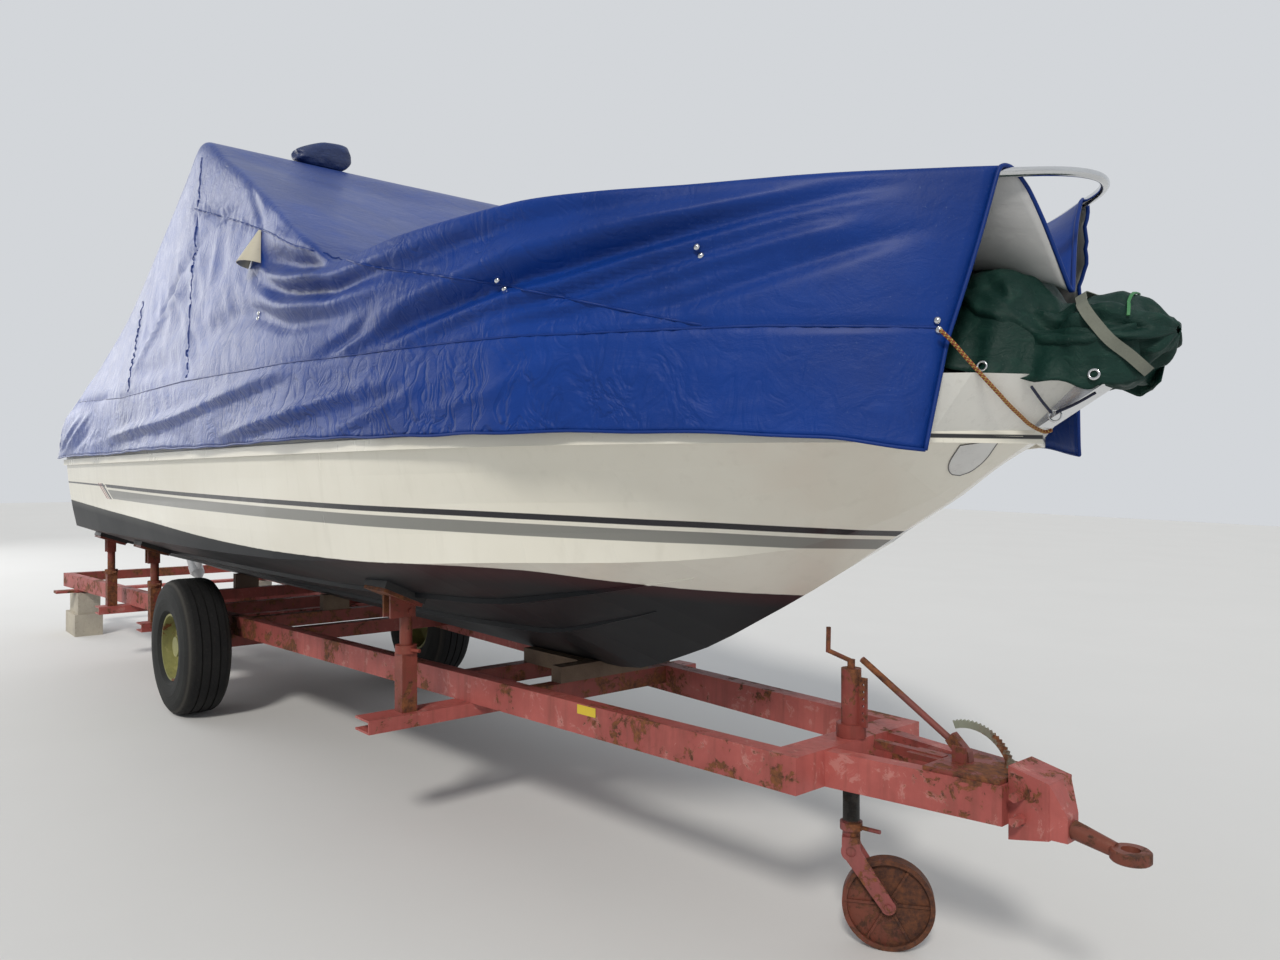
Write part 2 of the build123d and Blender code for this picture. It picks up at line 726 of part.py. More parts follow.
def makeFork():
    hubX, hubZ = jockeyTrail, jockeyHubZ()
    pivotZ = hubZ + jockeyFall
    inner = rod((0, 0, pivotZ + 42), (0, 0, beamTop + 100), innerTubeRadius)
    inY = jockeyWidth / 2 + forkGap
    outY = inY + forkPlate
    head = block(-30, 30, -outY, outY, pivotZ - 15, pivotZ + 48)
    arms = []
    size = math.hypot(hubX, hubZ - pivotZ)
    ox, oz = (pivotZ - hubZ) / size * 30, hubX / size * 30
    for y0, y1 in ((inY, outY), (-outY, -inY)):
        plate = sidePlate([(ox, pivotZ + oz), (hubX + ox * 0.8, hubZ + oz * 0.8),
                           (hubX - ox * 0.8, hubZ - oz * 0.8), (-ox, pivotZ - oz)], y0, y1)
        arms += [plate, rod((0, y0, pivotZ), (0, y1, pivotZ), forkPivotRadius),
                 rod((hubX, y0, hubZ), (hubX, y1, hubZ), 25)]
    axle = rod((hubX, -outY - 8, hubZ), (hubX, outY + 8, hubZ), jockeyPin)
    collar = rod((0, 0, pivotZ + 66), (0, 0, pivotZ + 92), innerTubeRadius + 9.5)
    lever = rod((30, -20, pivotZ + 79), (95, -62, pivotZ + 83), 7)
    eyes = [rod((0, y - 9, pivotZ), (0, y + 9, pivotZ), 17) for y in (-outY - 3, outY + 3)]
    return turned(cut(joined([inner, head, axle, collar, lever] + arms), eyes))


def makeJockeyWheel():
    at = Pos(jockeyTrail, 0, jockeyHubZ()) * Rot(90, 0, 0)
    rim = Cylinder(jockeyRadius, jockeyWidth) - Cylinder(jockeyRadius - 16, jockeyWidth * 2)
    disc = Cylinder(jockeyRadius - 12, 12)
    rib = Pos((jockeyRadius + jockeyHub) / 2 - 8, 0, 0) * Box(jockeyRadius - jockeyHub - 12, 9, 26)
    ribs = [Rot(0, 0, 60 * k) * rib for k in range(6)]
    hub = Cylinder(jockeyHub, jockeyWidth + 4)
    wheel = joined([rim, disc, hub] + ribs) - Cylinder(jockeyPin + runGap, jockeyWidth * 2)
    return turned(at * wheel)


def saddleTop():
    return beamTop - 4 + saddleThick


def makeLever():
    low = saddleTop() + fit
    bar = rod((leverLowX, 0, beamTop + 50), (leverTopX, 0, beamTop + 268), leverRadius)
    x = leverLowX
    foot = sidePlate([(x - 36, beamTop + 62), (x - 12, beamTop + 90), (x + 42, beamTop + 40), (x + 47, low),
                      (x + 10, low)], -14, 14)
    return bar.fuse(foot)


def makeQuadrant():
    # ring sector with ratchet teeth on its rim
    z = beamTop - 25
    rim = []
    for k in range(quadrantTeeth * 2 + 1):
        angle = math.radians(112 - 128 * k / (2 * quadrantTeeth))
        r = quadrantRadius - (toothDepth if k % 2 else 0)
        rim.append((quadrantX + r * math.cos(angle), z + r * math.sin(angle)))
    inner = [(quadrantX + (quadrantRadius - quadrantBand) * math.cos(math.radians(a)),
              z + (quadrantRadius - quadrantBand) * math.sin(math.radians(a))) for a in range(-16, 113, 8)]
    plate = sidePlate(rim + inner, 26, 34)
    beyond, low = quadrantRadius + 10, saddleTop() + fit
    keep = block(quadrantX - 70, quadrantX + beyond, 20, 40, low, z + beyond)
    foot = block(quadrantX + 118, quadrantX + 166, 22, 44, low, beamTop + 32)
    return (plate & keep).fuse(foot)


def makeBrakeRod():
    saddle = prism([(4822, 140), (5052, 104), (5052, -104), (4822, -140)], beamTop - 4 + fit, saddleTop())
    bar = block(4560, 4815, -14, 14, beamTop - 18, beamTop + 10)
    link = block(4700, 4822 + 4, -40, 40, beamTop - 12, beamTop + 6)
    ear = block(4860, 4905, -39, -29, beamTop, beamTop + 60)
    return joined([saddle, bar, link, ear])


# Supports

def makeArms():
    # channels under both beams, their webs to the front
    top = beamTop - beamHeight - fit
    arms = []
    for x, armHalf, postHalf, padHalf in supportRows:
        arm = block(x - armWidth / 2, x + armWidth / 2, -armHalf, armHalf, top - armHeight, top)
        hollow = block(x - armWidth / 2 - 1, x + armWidth / 2 - armWall, -armHalf - 1, armHalf + 1,
                       top - armHeight + armWall, top - armWall)
        arms.append(arm - hollow)
    arms.append(block(rearArmX - 60, rearArmX + 60, -rearArmHalf, rearArmHalf, top - rearArmHeight, top))
    return gathered(arms)


def bottomRise(x):
    # keel height and slope of the bottom, on the trailer
    keel, chineY, chineZ = smoothRow(hullStations, x)[:3]
    return beamTop + keel, (chineZ - keel) / chineY


def makePostsAndPads(hull):
    posts, pads = [], []
    armTop = beamTop - beamHeight - fit
    for x, armHalf, postHalf, padHalf in supportRows:
        keel, rise = bottomRise(x)
        under = keel + rise * padHalf
        lean = math.degrees(math.atan(rise))
        tubeTop, w = armTop + postHeight, postWidth / 2
        low = block(x - w, x + w, postHalf - w, postHalf + w, armTop, tubeTop)
        piston = rod((x, postHalf, tubeTop - 10), (x, postHalf, under - padThick - 60), pistonWidth / 2)
        collar = rod((x, postHalf, tubeTop), (x, postHalf, tubeTop + collarHeight), collarRadius)
        gripZ = tubeTop + 16
        handle = rod((x + 30, postHalf, gripZ), (x + 84, postHalf - 20, gripZ), 8)
        # forked head: two cheeks on a pin, under the tilted plate
        headZ = under - padThick - padPlate
        cheeks = [block(x + s * 31 - 7, x + s * 31 + 7, postHalf - 26, padHalf + 30, headZ - 84, headZ + 10)
                  for s in (1, -1)]
        pin = rod((x - 46, postHalf, headZ - 60), (x + 46, postHalf, headZ - 60), 11)
        at = Pos(x, padHalf, under - padThick - padPlate / 2) * Rot(lean, 0, 0)
        plate = at * Box(padSize - 10, padSize - 10, padPlate)
        above = at * Pos(0, 0, padSize) * Box(2 * padSize, 2 * padSize, 2 * padSize)
        pad = at * Pos(0, 0, padPlate / 2 + fit + padThick) * Box(padSize, padSize, 2 * padThick)
        pads.append(pad - hull)
        posts.append(joined([low, piston, collar, handle, pin] + cheeks).cut(above).fuse(plate))
    return both(gathered(posts)), both(gathered(pads))


def makeKeelBlocks(hull):
    blocks = []
    for x, length, half in keelBlocks:
        keel, rise = bottomRise(x)
        base = block(x - length / 2, x + length / 2, -half, half, beamTop + fit, keel + 16)
        blocks.append(base - hull)
    return gathered(blocks)


# Stern drive, built with the leg hanging straight down

def makeShield():
    # plate on the transom with an upper and a lower steering lug
    x, z = drivePivotX, drivePivotZ
    plate = block(transomX - shieldThick, transomX - fit, -shieldHalf, shieldHalf, z - 150, z + 190)
    lugs = []
    for low, high in ((z + steerLugLow, z + steerLugHigh), (z - steerLugHigh, z - steerLugLow)):
        lug = block(x, transomX - shieldThick / 2, -steerLugHalf, steerLugHalf, low, high)
        lug = lug.fuse(rod((x, 0, low), (x, 0, high), steerLugHalf))
        lugs.append(lug - rod((x, 0, low - 5), (x, 0, high + 5), steerPin + runGap))
    return joined([plate] + lugs)


def makeYoke():
    # U-shaped ring that steers: a web in front, arms at the sides, straps over and under
    x, z = drivePivotX, drivePivotZ
    web = block(x + 70, x + 90, -104, 104, z - 88, z + 88)
    arms = [block(x - 30, x + 75, s * 94 - 10, s * 94 + 10, z - 40, z + 40) for s in (1, -1)]
    straps = [block(x - 20, x + 75, -40, 40, z + s * 78 - 10, z + s * 78 + 10) for s in (1, -1)]
    pins = [rod((x, 0, z + s * 80), (x, 0, z + s * (steerLugHigh - 2)), steerPin) for s in (1, -1)]
    ring = joined([web] + arms + straps + pins)
    return ring - rod((x, -140, z), (x, 140, z), tiltPin + runGap)


def makeDriveHead():
    # barrel on the tilt pin, between the yoke's arms
    x, z = drivePivotX, drivePivotZ
    return rod((x, -78, z), (x, 78, z), 62).fuse(rod((x, -103, z), (x, 103, z), tiltPin))


def makeLeg():
    x, z = drivePivotX, drivePivotZ
    centre, shaftZ, plateZ = x - legCentre, z - shaftDrop, z - plateDrop
    head = block(x - 300, x - 50, -78, 78, z - 62, z + 12)
    upper = loft([Plane(origin=(centre, 0, z - 50)) * Ellipse(108, 58),
                  Plane(origin=(centre, 0, plateZ)) * Ellipse(112, 40)])
    lower = loft([Plane(origin=(centre, 0, plateZ)) * Ellipse(104, 30),
                  Plane(origin=(centre - 10, 0, shaftZ)) * Ellipse(96, 22)])
    plate = prism([(x - 520, 92), (x - 440, 112), (x - 120, 96), (x - 52, 40), (x - 52, -40), (x - 120, -96),
                   (x - 440, -112), (x - 520, -92)], plateZ - plateThick, plateZ)
    pod = rod((x - 400, 0, shaftZ), (x - 110, 0, shaftZ), podRadius)
    nose = rod((x - 110, 0, shaftZ), (x - 20, 0, shaftZ), podRadius, 10)
    shaft = rod((x - 530, 0, shaftZ), (x - 390, 0, shaftZ), shaftRadius)
    skeg = sidePlate([(x - 330, shaftZ - 40), (x - 120, shaftZ - 40), (x - 232, shaftZ - 150),
                      (x - 330, shaftZ - 150)], -8, 8)
    return joined([head, upper, lower, plate, pod, nose, shaft, skeg]) - makeDriveHead()


def makePropeller():
    x, z = drivePivotX, drivePivotZ
    shaftZ = z - shaftDrop
    hub = rod((x - 500, 0, shaftZ), (x - 405, 0, shaftZ), propHub)
    tail = rod((x - 522, 0, shaftZ), (x - 500, 0, shaftZ), propHub - 14, propHub)
    blades = []
    for k in range(bladeCount):
        faces = []
        for r, chord, thick, pitch in bladeRows:
            lean = math.radians(pitch)
            face = Plane(origin=(0, 0, r), x_dir=(math.sin(lean), math.cos(lean), 0), z_dir=(0, 0, 1))
            faces.append(face * Ellipse(chord / 2, thick / 2))
        blades.append(Pos(x - 455, 0, shaftZ) * Rot(360 * k / bladeCount, 0, 0) * loft(faces))
    bore = rod((x - 540, 0, shaftZ), (x - 390, 0, shaftZ), shaftRadius + runGap)
    return joined([hub, tail] + blades) - bore


def tilted(shape):
    # swing the leg up to its parked angle about the tilt pin
    return shape.rotate(Axis((drivePivotX, 0, drivePivotZ), (0, 1, 0)), driveTilt)


# Everything together

def makeBoat():
    hull = makeHull()
    deck = makeDeck() - hull
    boat = {"hull": hull, "deck": deck, "rub_strake": makeStrake() - hull - deck,
            "stem_plate": makeStemPlate(hull, deck), "pulpit": makePulpit() - deck,
            "side_rails": both(makeSideRails() - deck)}
    bar = makeHoopBar()
    boat["hoop_bar"] = bar
    boat["hoop_legs"] = both(makeHoopLegs() - bar - deck)
    boat["cover"] = makeCover()
    boat["bow_cover"] = cut(makeBowCover(), [deck, boat["stem_plate"], boat["pulpit"], boat["cover"]])
    boat["cover_vent"] = makeVent() - Pos(0, -fit, 0) * boat["cover"]
    boat["lamp_bag"] = makeLampBag() - boat["cover"]
    boat["drive_shield"] = makeShield()
    boat["drive_yoke"] = makeYoke()
    boat["drive_head"] = tilted(makeDriveHead())
    boat["drive_leg"] = tilted(makeLeg())
    boat["propeller"] = tilted(makePropeller())
    return {name: Pos(0, 0, beamTop) * shape for name, shape in boat.items()}


def makeTrailer(hull):
    beam = makeBeam()
    head = makeHead()
    posts, pads = makePostsAndPads(hull)
    trailer = {"port_beam": beam, "starboard_beam": mirrored(beam), "front_member": makeFrontMember(),
               "cross_members": makeCrossMembers(), "drawbar": makeDrawbar(), "coupling_head": head,
               "towing_eye": makeEye() - head, "axle": makeAxle()}
    rim, tyre = makeRim(), makeTyre()
    for side, name in ((1, "port"), (-1, "starboard")):
        at = Pos(0, side * trackWidth / 2, axleZ)
        trailer[name + "_tyre"] = at * tyre
        trailer[name + "_rim"] = at * (rim if side > 0 else mirrored(rim))
    trailer["jockey_tube"] = makeJockeyTube()
    trailer["jockey_crank"] = makeCrank()
    trailer["jockey_fork"] = makeFork()
    trailer["jockey_wheel"] = makeJockeyWheel()
    trailer["brake_lever"] = makeLever()
    trailer["brake_quadrant"] = makeQuadrant()
    trailer["brake_rod"] = makeBrakeRod()
    trailer["support_arms"] = makeArms()
    trailer["support_posts"] = posts
    trailer["support_pads"] = pads
    trailer["keel_blocks"] = makeKeelBlocks(hull)
    return trailer


def parked(shape):
    # pitched about the axle, which stands a tyre's radius above the ground
    turned = shape.rotate(Axis((0, 0, axleZ), (0, 1, 0)), -parkPitch)
    return Pos(0, 0, tyreRadius - axleZ) * turned


def makeGroundBlocks():
    # two stacks of concrete blocks between the ground and the rear arm
    low = beamTop - beamHeight - rearArmHeight - 2 * fit
    top = tyreRadius + (low - axleZ) * pitchCos() + (stackLowX + 160) * pitchSin() - fit
    stacks = []
    for side in (1, -1):
        y = side * (rearArmHalf - 2 * stackHalf - 15)
        base = block(stackLowX, stackHighX, y - stackHalf, y + stackHalf, 0, stackStep)
        upper = block(stackLowX + stackInset, stackHighX - stackInset, y - stackHalf + stackInset,
                      y + stackHalf - 15, stackStep, top)
        stacks.append(base.fuse(upper))
    return gathered(stacks)


def main():
    os.makedirs("parts", exist_ok=True)
    boat = makeBoat()
    pieces = {name: parked(shape) for name, shape in {**boat, **makeTrailer(boat["hull"])}.items()}
    pieces["ground_blocks"] = makeGroundBlocks()
    boxes = [shape.bounding_box() for shape in pieces.values()]
    midX = (min(box.min.X for box in boxes) + max(box.max.X for box in boxes)) / 2
    midY = (min(box.min.Y for box in boxes) + max(box.max.Y for box in boxes)) / 2
    shift = Pos(-midX, -midY, -min(box.min.Z for box in boxes))
    print("moved to the middle by", -midX, -midY, -min(box.min.Z for box in boxes))
    for name, shape in pieces.items():
        solids = [shift * solid for solid in shape.solids()]
        print(name, len(solids), "solids")
        export_step(solids[0] if len(solids) == 1 else Compound(children=solids), "parts/" + name + ".step")


main()
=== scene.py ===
import json
import math

import bpy
import numpy as np
from mathutils import Matrix, Vector
from mathutils.bvhtree import BVHTree


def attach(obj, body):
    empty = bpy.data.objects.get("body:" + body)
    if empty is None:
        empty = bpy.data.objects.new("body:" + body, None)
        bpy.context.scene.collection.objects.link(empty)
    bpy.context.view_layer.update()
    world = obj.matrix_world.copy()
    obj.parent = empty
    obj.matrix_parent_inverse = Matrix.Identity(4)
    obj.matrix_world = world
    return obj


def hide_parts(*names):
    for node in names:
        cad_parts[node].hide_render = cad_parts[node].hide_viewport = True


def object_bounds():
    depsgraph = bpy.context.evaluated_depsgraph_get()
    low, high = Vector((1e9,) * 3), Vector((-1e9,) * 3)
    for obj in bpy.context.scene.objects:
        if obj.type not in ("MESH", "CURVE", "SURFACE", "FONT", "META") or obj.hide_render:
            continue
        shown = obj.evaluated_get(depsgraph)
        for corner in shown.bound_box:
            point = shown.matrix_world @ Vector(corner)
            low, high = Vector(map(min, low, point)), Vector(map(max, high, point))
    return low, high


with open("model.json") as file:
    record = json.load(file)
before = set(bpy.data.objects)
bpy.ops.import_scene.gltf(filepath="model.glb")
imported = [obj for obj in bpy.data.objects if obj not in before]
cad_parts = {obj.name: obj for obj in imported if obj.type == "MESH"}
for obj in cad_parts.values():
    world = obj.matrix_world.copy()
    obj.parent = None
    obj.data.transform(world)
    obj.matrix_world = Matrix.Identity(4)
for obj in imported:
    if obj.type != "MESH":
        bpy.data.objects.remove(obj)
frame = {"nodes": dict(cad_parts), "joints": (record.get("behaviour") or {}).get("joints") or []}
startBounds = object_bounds()
nodes = frame["nodes"]
joints = {joint["name"]: joint for joint in frame["joints"]}
print("frame loaded")

# Lengths are metres. Shapes are laid out level, with x forward of the axle and z up from the
# ground, and park() pitches them bow-up about the axle as the whole load stands.
stance = {"pitchDegrees": 1.37, "axleHeight": 0.4225}
axleAt = joints["wheel_port_spin"]["pos_m"]
pitchSin = math.sin(math.radians(stance["pitchDegrees"]))
pitchCos = math.cos(math.radians(stance["pitchDegrees"]))


def park(x, y, z):
    # turned about the axle's line by the pitch, then moved to the axle's place
    rise = np.asarray(z, float) - stance["axleHeight"]
    x, y, rise = np.broadcast_arrays(np.asarray(x, float), np.asarray(y, float), rise)
    return np.stack([x * pitchCos - rise * pitchSin + axleAt[0], y,
                     x * pitchSin + rise * pitchCos + axleAt[2]], -1)


def parkAll(points):
    return park(*np.moveaxis(np.asarray(points, float), -1, 0))


def parkVector(x, y, z):
    return np.array([x * pitchCos - z * pitchSin, y, x * pitchSin + z * pitchCos])


# Mesh helpers.

def addObject(name, data):
    made = bpy.data.objects.new(name, data)
    bpy.context.scene.collection.objects.link(made)
    return made


def addMesh(name, points, faces, material, smooth=True, uv=None):
    mesh = bpy.data.meshes.new(name)
    mesh.from_pydata(np.asarray(points, float).reshape(-1, 3).tolist(), [], faces)
    mesh.polygons.foreach_set("use_smooth", np.full(len(mesh.polygons), smooth))
    if uv is not None:
        corner = np.zeros(len(mesh.loops), np.int32)
        mesh.loops.foreach_get("vertex_index", corner)
        mesh.uv_layers.new(name="UVMap").data.foreach_set("uv", uv.reshape(-1, 2)[corner].ravel())
    mesh.update()
    mesh.materials.append(finishes[material])
    return addObject(name, mesh)


def gridFaces(rows, cols, wrapRows=False, wrapCols=False):
    ids = np.arange(rows * cols).reshape(rows, cols)
    if wrapRows:
        ids = np.vstack([ids, ids[:1]])
    if wrapCols:
        ids = np.hstack([ids, ids[:, :1]])
    return np.stack([ids[:-1, :-1], ids[:-1, 1:], ids[1:, 1:], ids[1:, :-1]], -1).reshape(-1, 4).tolist()


def addGrid(name, points, material, wrapRows=False, wrapCols=False, smooth=True):
    rows, cols = points.shape[:2]
    return addMesh(name, points, gridFaces(rows, cols, wrapRows, wrapCols), material, smooth)


def gridArea(points):
    # each cell of the grid counts as a parallelogram
    cells = np.cross(np.diff(points, axis=0)[:, :-1], np.diff(points, axis=1)[:-1])
    return float(np.linalg.norm(cells, axis=-1).sum())


def unit(vectors):
    return vectors / (np.linalg.norm(vectors, axis=-1, keepdims=True) + 1e-12)


def circle(count):
    return np.linspace(0, 2 * np.pi, count, endpoint=False)


def runAlong(points):
    # distance along the path at each of its points
    return np.concatenate([[0], np.cumsum(np.linalg.norm(np.diff(points, axis=0), axis=1))])


def evenOut(row):
    # draws each inner value or point half way to the mean of its neighbours
    row[1:-1] = (row[:-2] + 2 * row[1:-1] + row[2:]) / 4


def tubePoints(path, radius, sides):
    # rings square to the path, with the first ring's turn carried along it
    step = unit(np.gradient(path, axis=0))
    upper = np.tile(np.array([0.0, 0.0, 1.0]), (len(path), 1))
    upper[np.abs(step[:, 2]) > 0.95] = (0.0, 1.0, 0.0)
    across = np.cross(step, upper)
    for k in range(1, len(path)):
        across[k] = across[k - 1] - step[k] * np.dot(across[k - 1], step[k])
    across = unit(across)
    upper = np.cross(across, step)
    angle = circle(sides)[None, :, None]
    return path[:, None] + radius * (across[:, None] * np.cos(angle) + upper[:, None] * np.sin(angle))


def addTube(name, path, radius, material, sides=10, closed=False):
    points = tubePoints(path, radius, sides)
    faces = gridFaces(len(points), sides, closed, True)
    if not closed:
        faces += [list(range(sides))[::-1], [(len(points) - 1) * sides + k for k in range(sides)]]
    uv = np.stack(np.meshgrid(np.arange(sides) / sides, np.arange(len(points)) / 8.0), -1)
    return addMesh(name, points, faces, material, True, uv)


def curvePoints(points, count):
    # a path through the points, evenly spaced, with smooth bends between them
    points = np.asarray(points, float)
    ends = np.vstack([2 * points[0] - points[1], points, 2 * points[-1] - points[-2]])
    t = np.linspace(0, 1, 24, endpoint=False)[:, None]
    pieces = []
    for k in range(len(points) - 1):
        a, b, c, d = ends[k:k + 4]
        pieces.append(0.5 * (2 * b + (c - a) * t + (2 * a - 5 * b + 4 * c - d) * t ** 2
                             + (3 * b - a - 3 * c + d) * t ** 3))
    dense = np.vstack(pieces + [points[-1:]])
    run = runAlong(dense)
    even = np.linspace(0, run[-1], count)
    return np.stack([np.interp(even, run, dense[:, k]) for k in range(3)], -1)


def facing(out):
    # two directions square to the outward one and to each other
    first = unit(np.cross(out, (0, 0, 1.0)))
    return first, np.cross(out, first)


def joinAll(name, made):
    # several meshes become one object
    with bpy.context.temp_override(active_object=made[0], selected_objects=made,
                                   selected_editable_objects=made, object=made[0]):
        bpy.ops.object.join()
    made[0].name = name
    return made[0]


def searchTree(mesh):
    return BVHTree.FromPolygons([v.co for v in mesh.vertices], [tuple(p.vertices) for p in mesh.polygons])


def thicken(piece, thick):
    made = piece.modifiers.new("cloth thickness", "SOLIDIFY")
    made.thickness = thick
    made.offset = -1.0
    return made


def onBoat(piece):
    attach(piece, "boat_on_trailer")


# Material helpers.

def plug(socket, value):
    # a Shade is linked, and a number or colour is set on the socket itself
    if isinstance(value, Shade):
        value.tree.links.new(value.socket, socket)
    else:
        socket.default_value = (*value, 1.0) if socket.type == "RGBA" else value


def addNode(tree, kind, output, inputs, **settings):
    # a node with its settings and inputs, given as the Shade of one of its outputs
    made = tree.nodes.new("ShaderNode" + kind)
    for key, value in settings.items():
        setattr(made, key, value)
    for key, value in inputs.items():
        plug(made.inputs[key], value)
    return Shade(tree, made.outputs[output])


def sums(kind, a, b=0.0, c=0.0):
    tree = next(value.tree for value in (a, b, c) if isinstance(value, Shade))
    return addNode(tree, "Math", 0, {0: a, 1: b, 2: c}, operation=kind)


class Shade:
    # a node's output that is reckoned with like a number: each sign adds one Math node
    def __init__(self, tree, socket):
        self.tree, self.socket = tree, socket

    def __add__(self, other):
        return sums("ADD", self, other)

    def __sub__(self, other):
        return sums("SUBTRACT", self, other)

    def __rsub__(self, other):
        return sums("SUBTRACT", other, self)

    def __mul__(self, other):
        return sums("MULTIPLY", self, other)

    def ramp(self, low, high, a=0.0, b=1.0):
        # low to high becomes a to b, held outside
        return addNode(self.tree, "MapRange", "Result",
                       {"Value": self, "From Min": low, "From Max": high, "To Min": a, "To Max": b})

    def mix(self, a, b):
        # colour a where the share is 0 and b where it is 1
        return addNode(self.tree, "Mix", 2, {0: self, 6: a, 7: b}, data_type="RGBA")

    def noise(self, scale, detail=4.0, rough=0.55, warp=0.0):
        return addNode(self.tree, "TexNoise", "Fac", {"Vector": self, "Scale": scale, "Detail": detail,
                                                      "Roughness": rough, "Distortion": warp})

    def stretch(self, *factors):
        return addNode(self.tree, "VectorMath", 0, {0: self, 1: factors}, operation="MULTIPLY")

    def split(self):
        made = self.tree.nodes.new("ShaderNodeSeparateXYZ")
        plug(made.inputs[0], self)
        return [Shade(self.tree, output) for output in made.outputs]


finishes = {}


def newFinish(name):
    # an empty material, with the place on the object to work from
    made = bpy.data.materials.new(name)
    made.use_nodes = True
    finishes[name] = made
    return made, addNode(made.node_tree, "TexCoord", "Object", {})


def dress(made, sockets, height=None, strength=0.0, distance=0.0):
    # the shader's sockets, with the height as bump
    if height:
        sockets["Normal"] = addNode(made.node_tree, "Bump", 0,
                                    {"Strength": strength, "Distance": distance, "Height": height})
    for key, value in sockets.items():
        plug(made.node_tree.nodes["Principled BSDF"].inputs[key], value)


def addWeathered(name, look):
    # two tones in broad patches, dirt in fine specks and down-streaks, roughness and bump to match
    made, place = newFinish(name)
    broad = place.noise(2.5, 5.0, 0.6)
    fine = place.noise(look.get("grain", 60.0), 6.0, 0.65)
    streak = place.stretch(14, 14, 1.2).noise(2.0, 4.0, 0.6)
    colour = broad.ramp(0.35, 0.65).mix(look["base"], look["shade"])
    dirt = fine.ramp(0.5, 0.75) * streak.ramp(0.45, 0.7) * look["dirt"]
    dress(made, {"Base Color": dirt.mix(colour, look.get("dirtColour", (0.10, 0.08, 0.06))),
                 "Roughness": (broad + dirt).ramp(0.3, 0.9, *look["rough"]),
                 "Metallic": look.get("metal", 0.0)},
          fine, look.get("bump", 0.2), look.get("bumpDepth", 0.002))


plainLooks = {
    "polished steel": {
        "base": (0.72, 0.73, 0.74), "shade": (0.60, 0.61, 0.62), "metal": 1.0, "rough": (0.14, 0.3),
        "dirt": 0.25, "bump": 0.05, "bumpDepth": 0.0004},
    "black rubber": {
        "base": (0.018, 0.018, 0.02), "shade": (0.035, 0.034, 0.033), "rough": (0.5, 0.7), "dirt": 0.5,
        "dirtColour": (0.12, 0.10, 0.08)},
    "deck gelcoat": {
        "base": (0.78, 0.77, 0.72), "shade": (0.70, 0.69, 0.63), "rough": (0.25, 0.4), "dirt": 0.3,
        "bump": 0.08},
    "weathered timber": {
        "base": (0.20, 0.14, 0.09), "shade": (0.10, 0.065, 0.045), "grain": 90.0, "rough": (0.7, 0.9),
        "dirt": 0.6, "bump": 0.6, "bumpDepth": 0.004},
    "weathered concrete": {
        "base": (0.46, 0.42, 0.34), "shade": (0.34, 0.31, 0.26), "grain": 35.0, "rough": (0.8, 0.95),
        "dirt": 0.6, "bump": 0.8, "bumpDepth": 0.006},
    "drive paint": {
        "base": (0.60, 0.61, 0.61), "shade": (0.46, 0.47, 0.48), "rough": (0.3, 0.5), "dirt": 0.6,
        "bump": 0.15},
    "propeller metal": {
        "base": (0.50, 0.50, 0.49), "shade": (0.34, 0.34, 0.33), "metal": 1.0, "rough": (0.3, 0.5),
        "dirt": 0.5},
    "vent plastic": {
        "base": (0.52, 0.48, 0.37), "shade": (0.42, 0.38, 0.29), "rough": (0.45, 0.6), "dirt": 0.4,
        "bump": 0.1},
    "grey strap": {
        "base": (0.20, 0.21, 0.17), "shade": (0.13, 0.14, 0.11), "grain": 260.0, "rough": (0.7, 0.85),
        "dirt": 0.5, "bump": 0.6, "bumpDepth": 0.002},
    "green tie": {
        "base": (0.05, 0.24, 0.08), "shade": (0.03, 0.16, 0.05), "grain": 200.0, "rough": (0.5, 0.7),
        "dirt": 0.3, "bump": 0.4},
    "navy cord": {
        "base": (0.020, 0.025, 0.060), "shade": (0.012, 0.015, 0.035), "grain": 300.0, "rough": (0.7, 0.9),
        "dirt": 0.3, "bump": 0.5},
    "blank white patch": {
        "base": (0.72, 0.72, 0.70), "shade": (0.62, 0.62, 0.60), "rough": (0.3, 0.45), "dirt": 0.3,
        "bump": 0.1},
    "patch border": {
        "base": (0.16, 0.16, 0.16), "shade": (0.11, 0.11, 0.11), "rough": (0.4, 0.5), "dirt": 0.2,
        "bump": 0.1},
    "blank yellow tag": {
        "base": (0.70, 0.52, 0.03), "shade": (0.58, 0.42, 0.03), "rough": (0.45, 0.6), "dirt": 0.4,
        "bump": 0.2},
}
for name, look in plainLooks.items():
    addWeathered(name, look)


def addRustyPaint(name, look):
    # faded paint, worn through to rust where broad and fine noise together pass a level
    made, place = newFinish(name)
    broad = place.noise(3.0, 6.0, 0.62)
    fine = place.noise(45.0, 8.0, 0.7)
    flake = place.noise(14.0, 8.0, 0.75, 0.6)
    streak = place.stretch(16, 16, 1.4).noise(1.6, 4.0, 0.6)
    paint = broad.ramp(0.35, 0.68).mix(look["base"], look["shade"])
    paint = streak.ramp(0.5, 0.72, 0.0, 0.45).mix(paint, look["streak"])
    paint = flake.ramp(0.56, 0.6, 0.0, look.get("chalk", 0.35)).mix(paint, look["chalkColour"])
    rust = fine.ramp(0.35, 0.65).mix(look.get("rustLow", (0.055, 0.020, 0.012)),
                                     look.get("rustHigh", (0.24, 0.085, 0.030)))
    share = (broad * 0.55 + flake * 0.45).ramp(look["rust"], look["rust"] + 0.025)
    colour = share.mix(paint, rust)
    if "oiledAbove" in look:
        # greased dark steel above the given height
        oil = fine.ramp(0.45, 0.7).mix((0.012, 0.011, 0.010), (0.035, 0.028, 0.022))
        oiled = place.split()[2].ramp(look["oiledAbove"], look["oiledAbove"] + 0.01)
        colour = oiled.mix(colour, oil)
    dress(made, {"Base Color": colour, "Roughness": fine.ramp(0.3, 0.7, 0.42, 0.58) + share * 0.3,
                 "Specular IOR Level": 0.4}, fine * 0.5 - share * 0.6, 0.45, 0.0025)


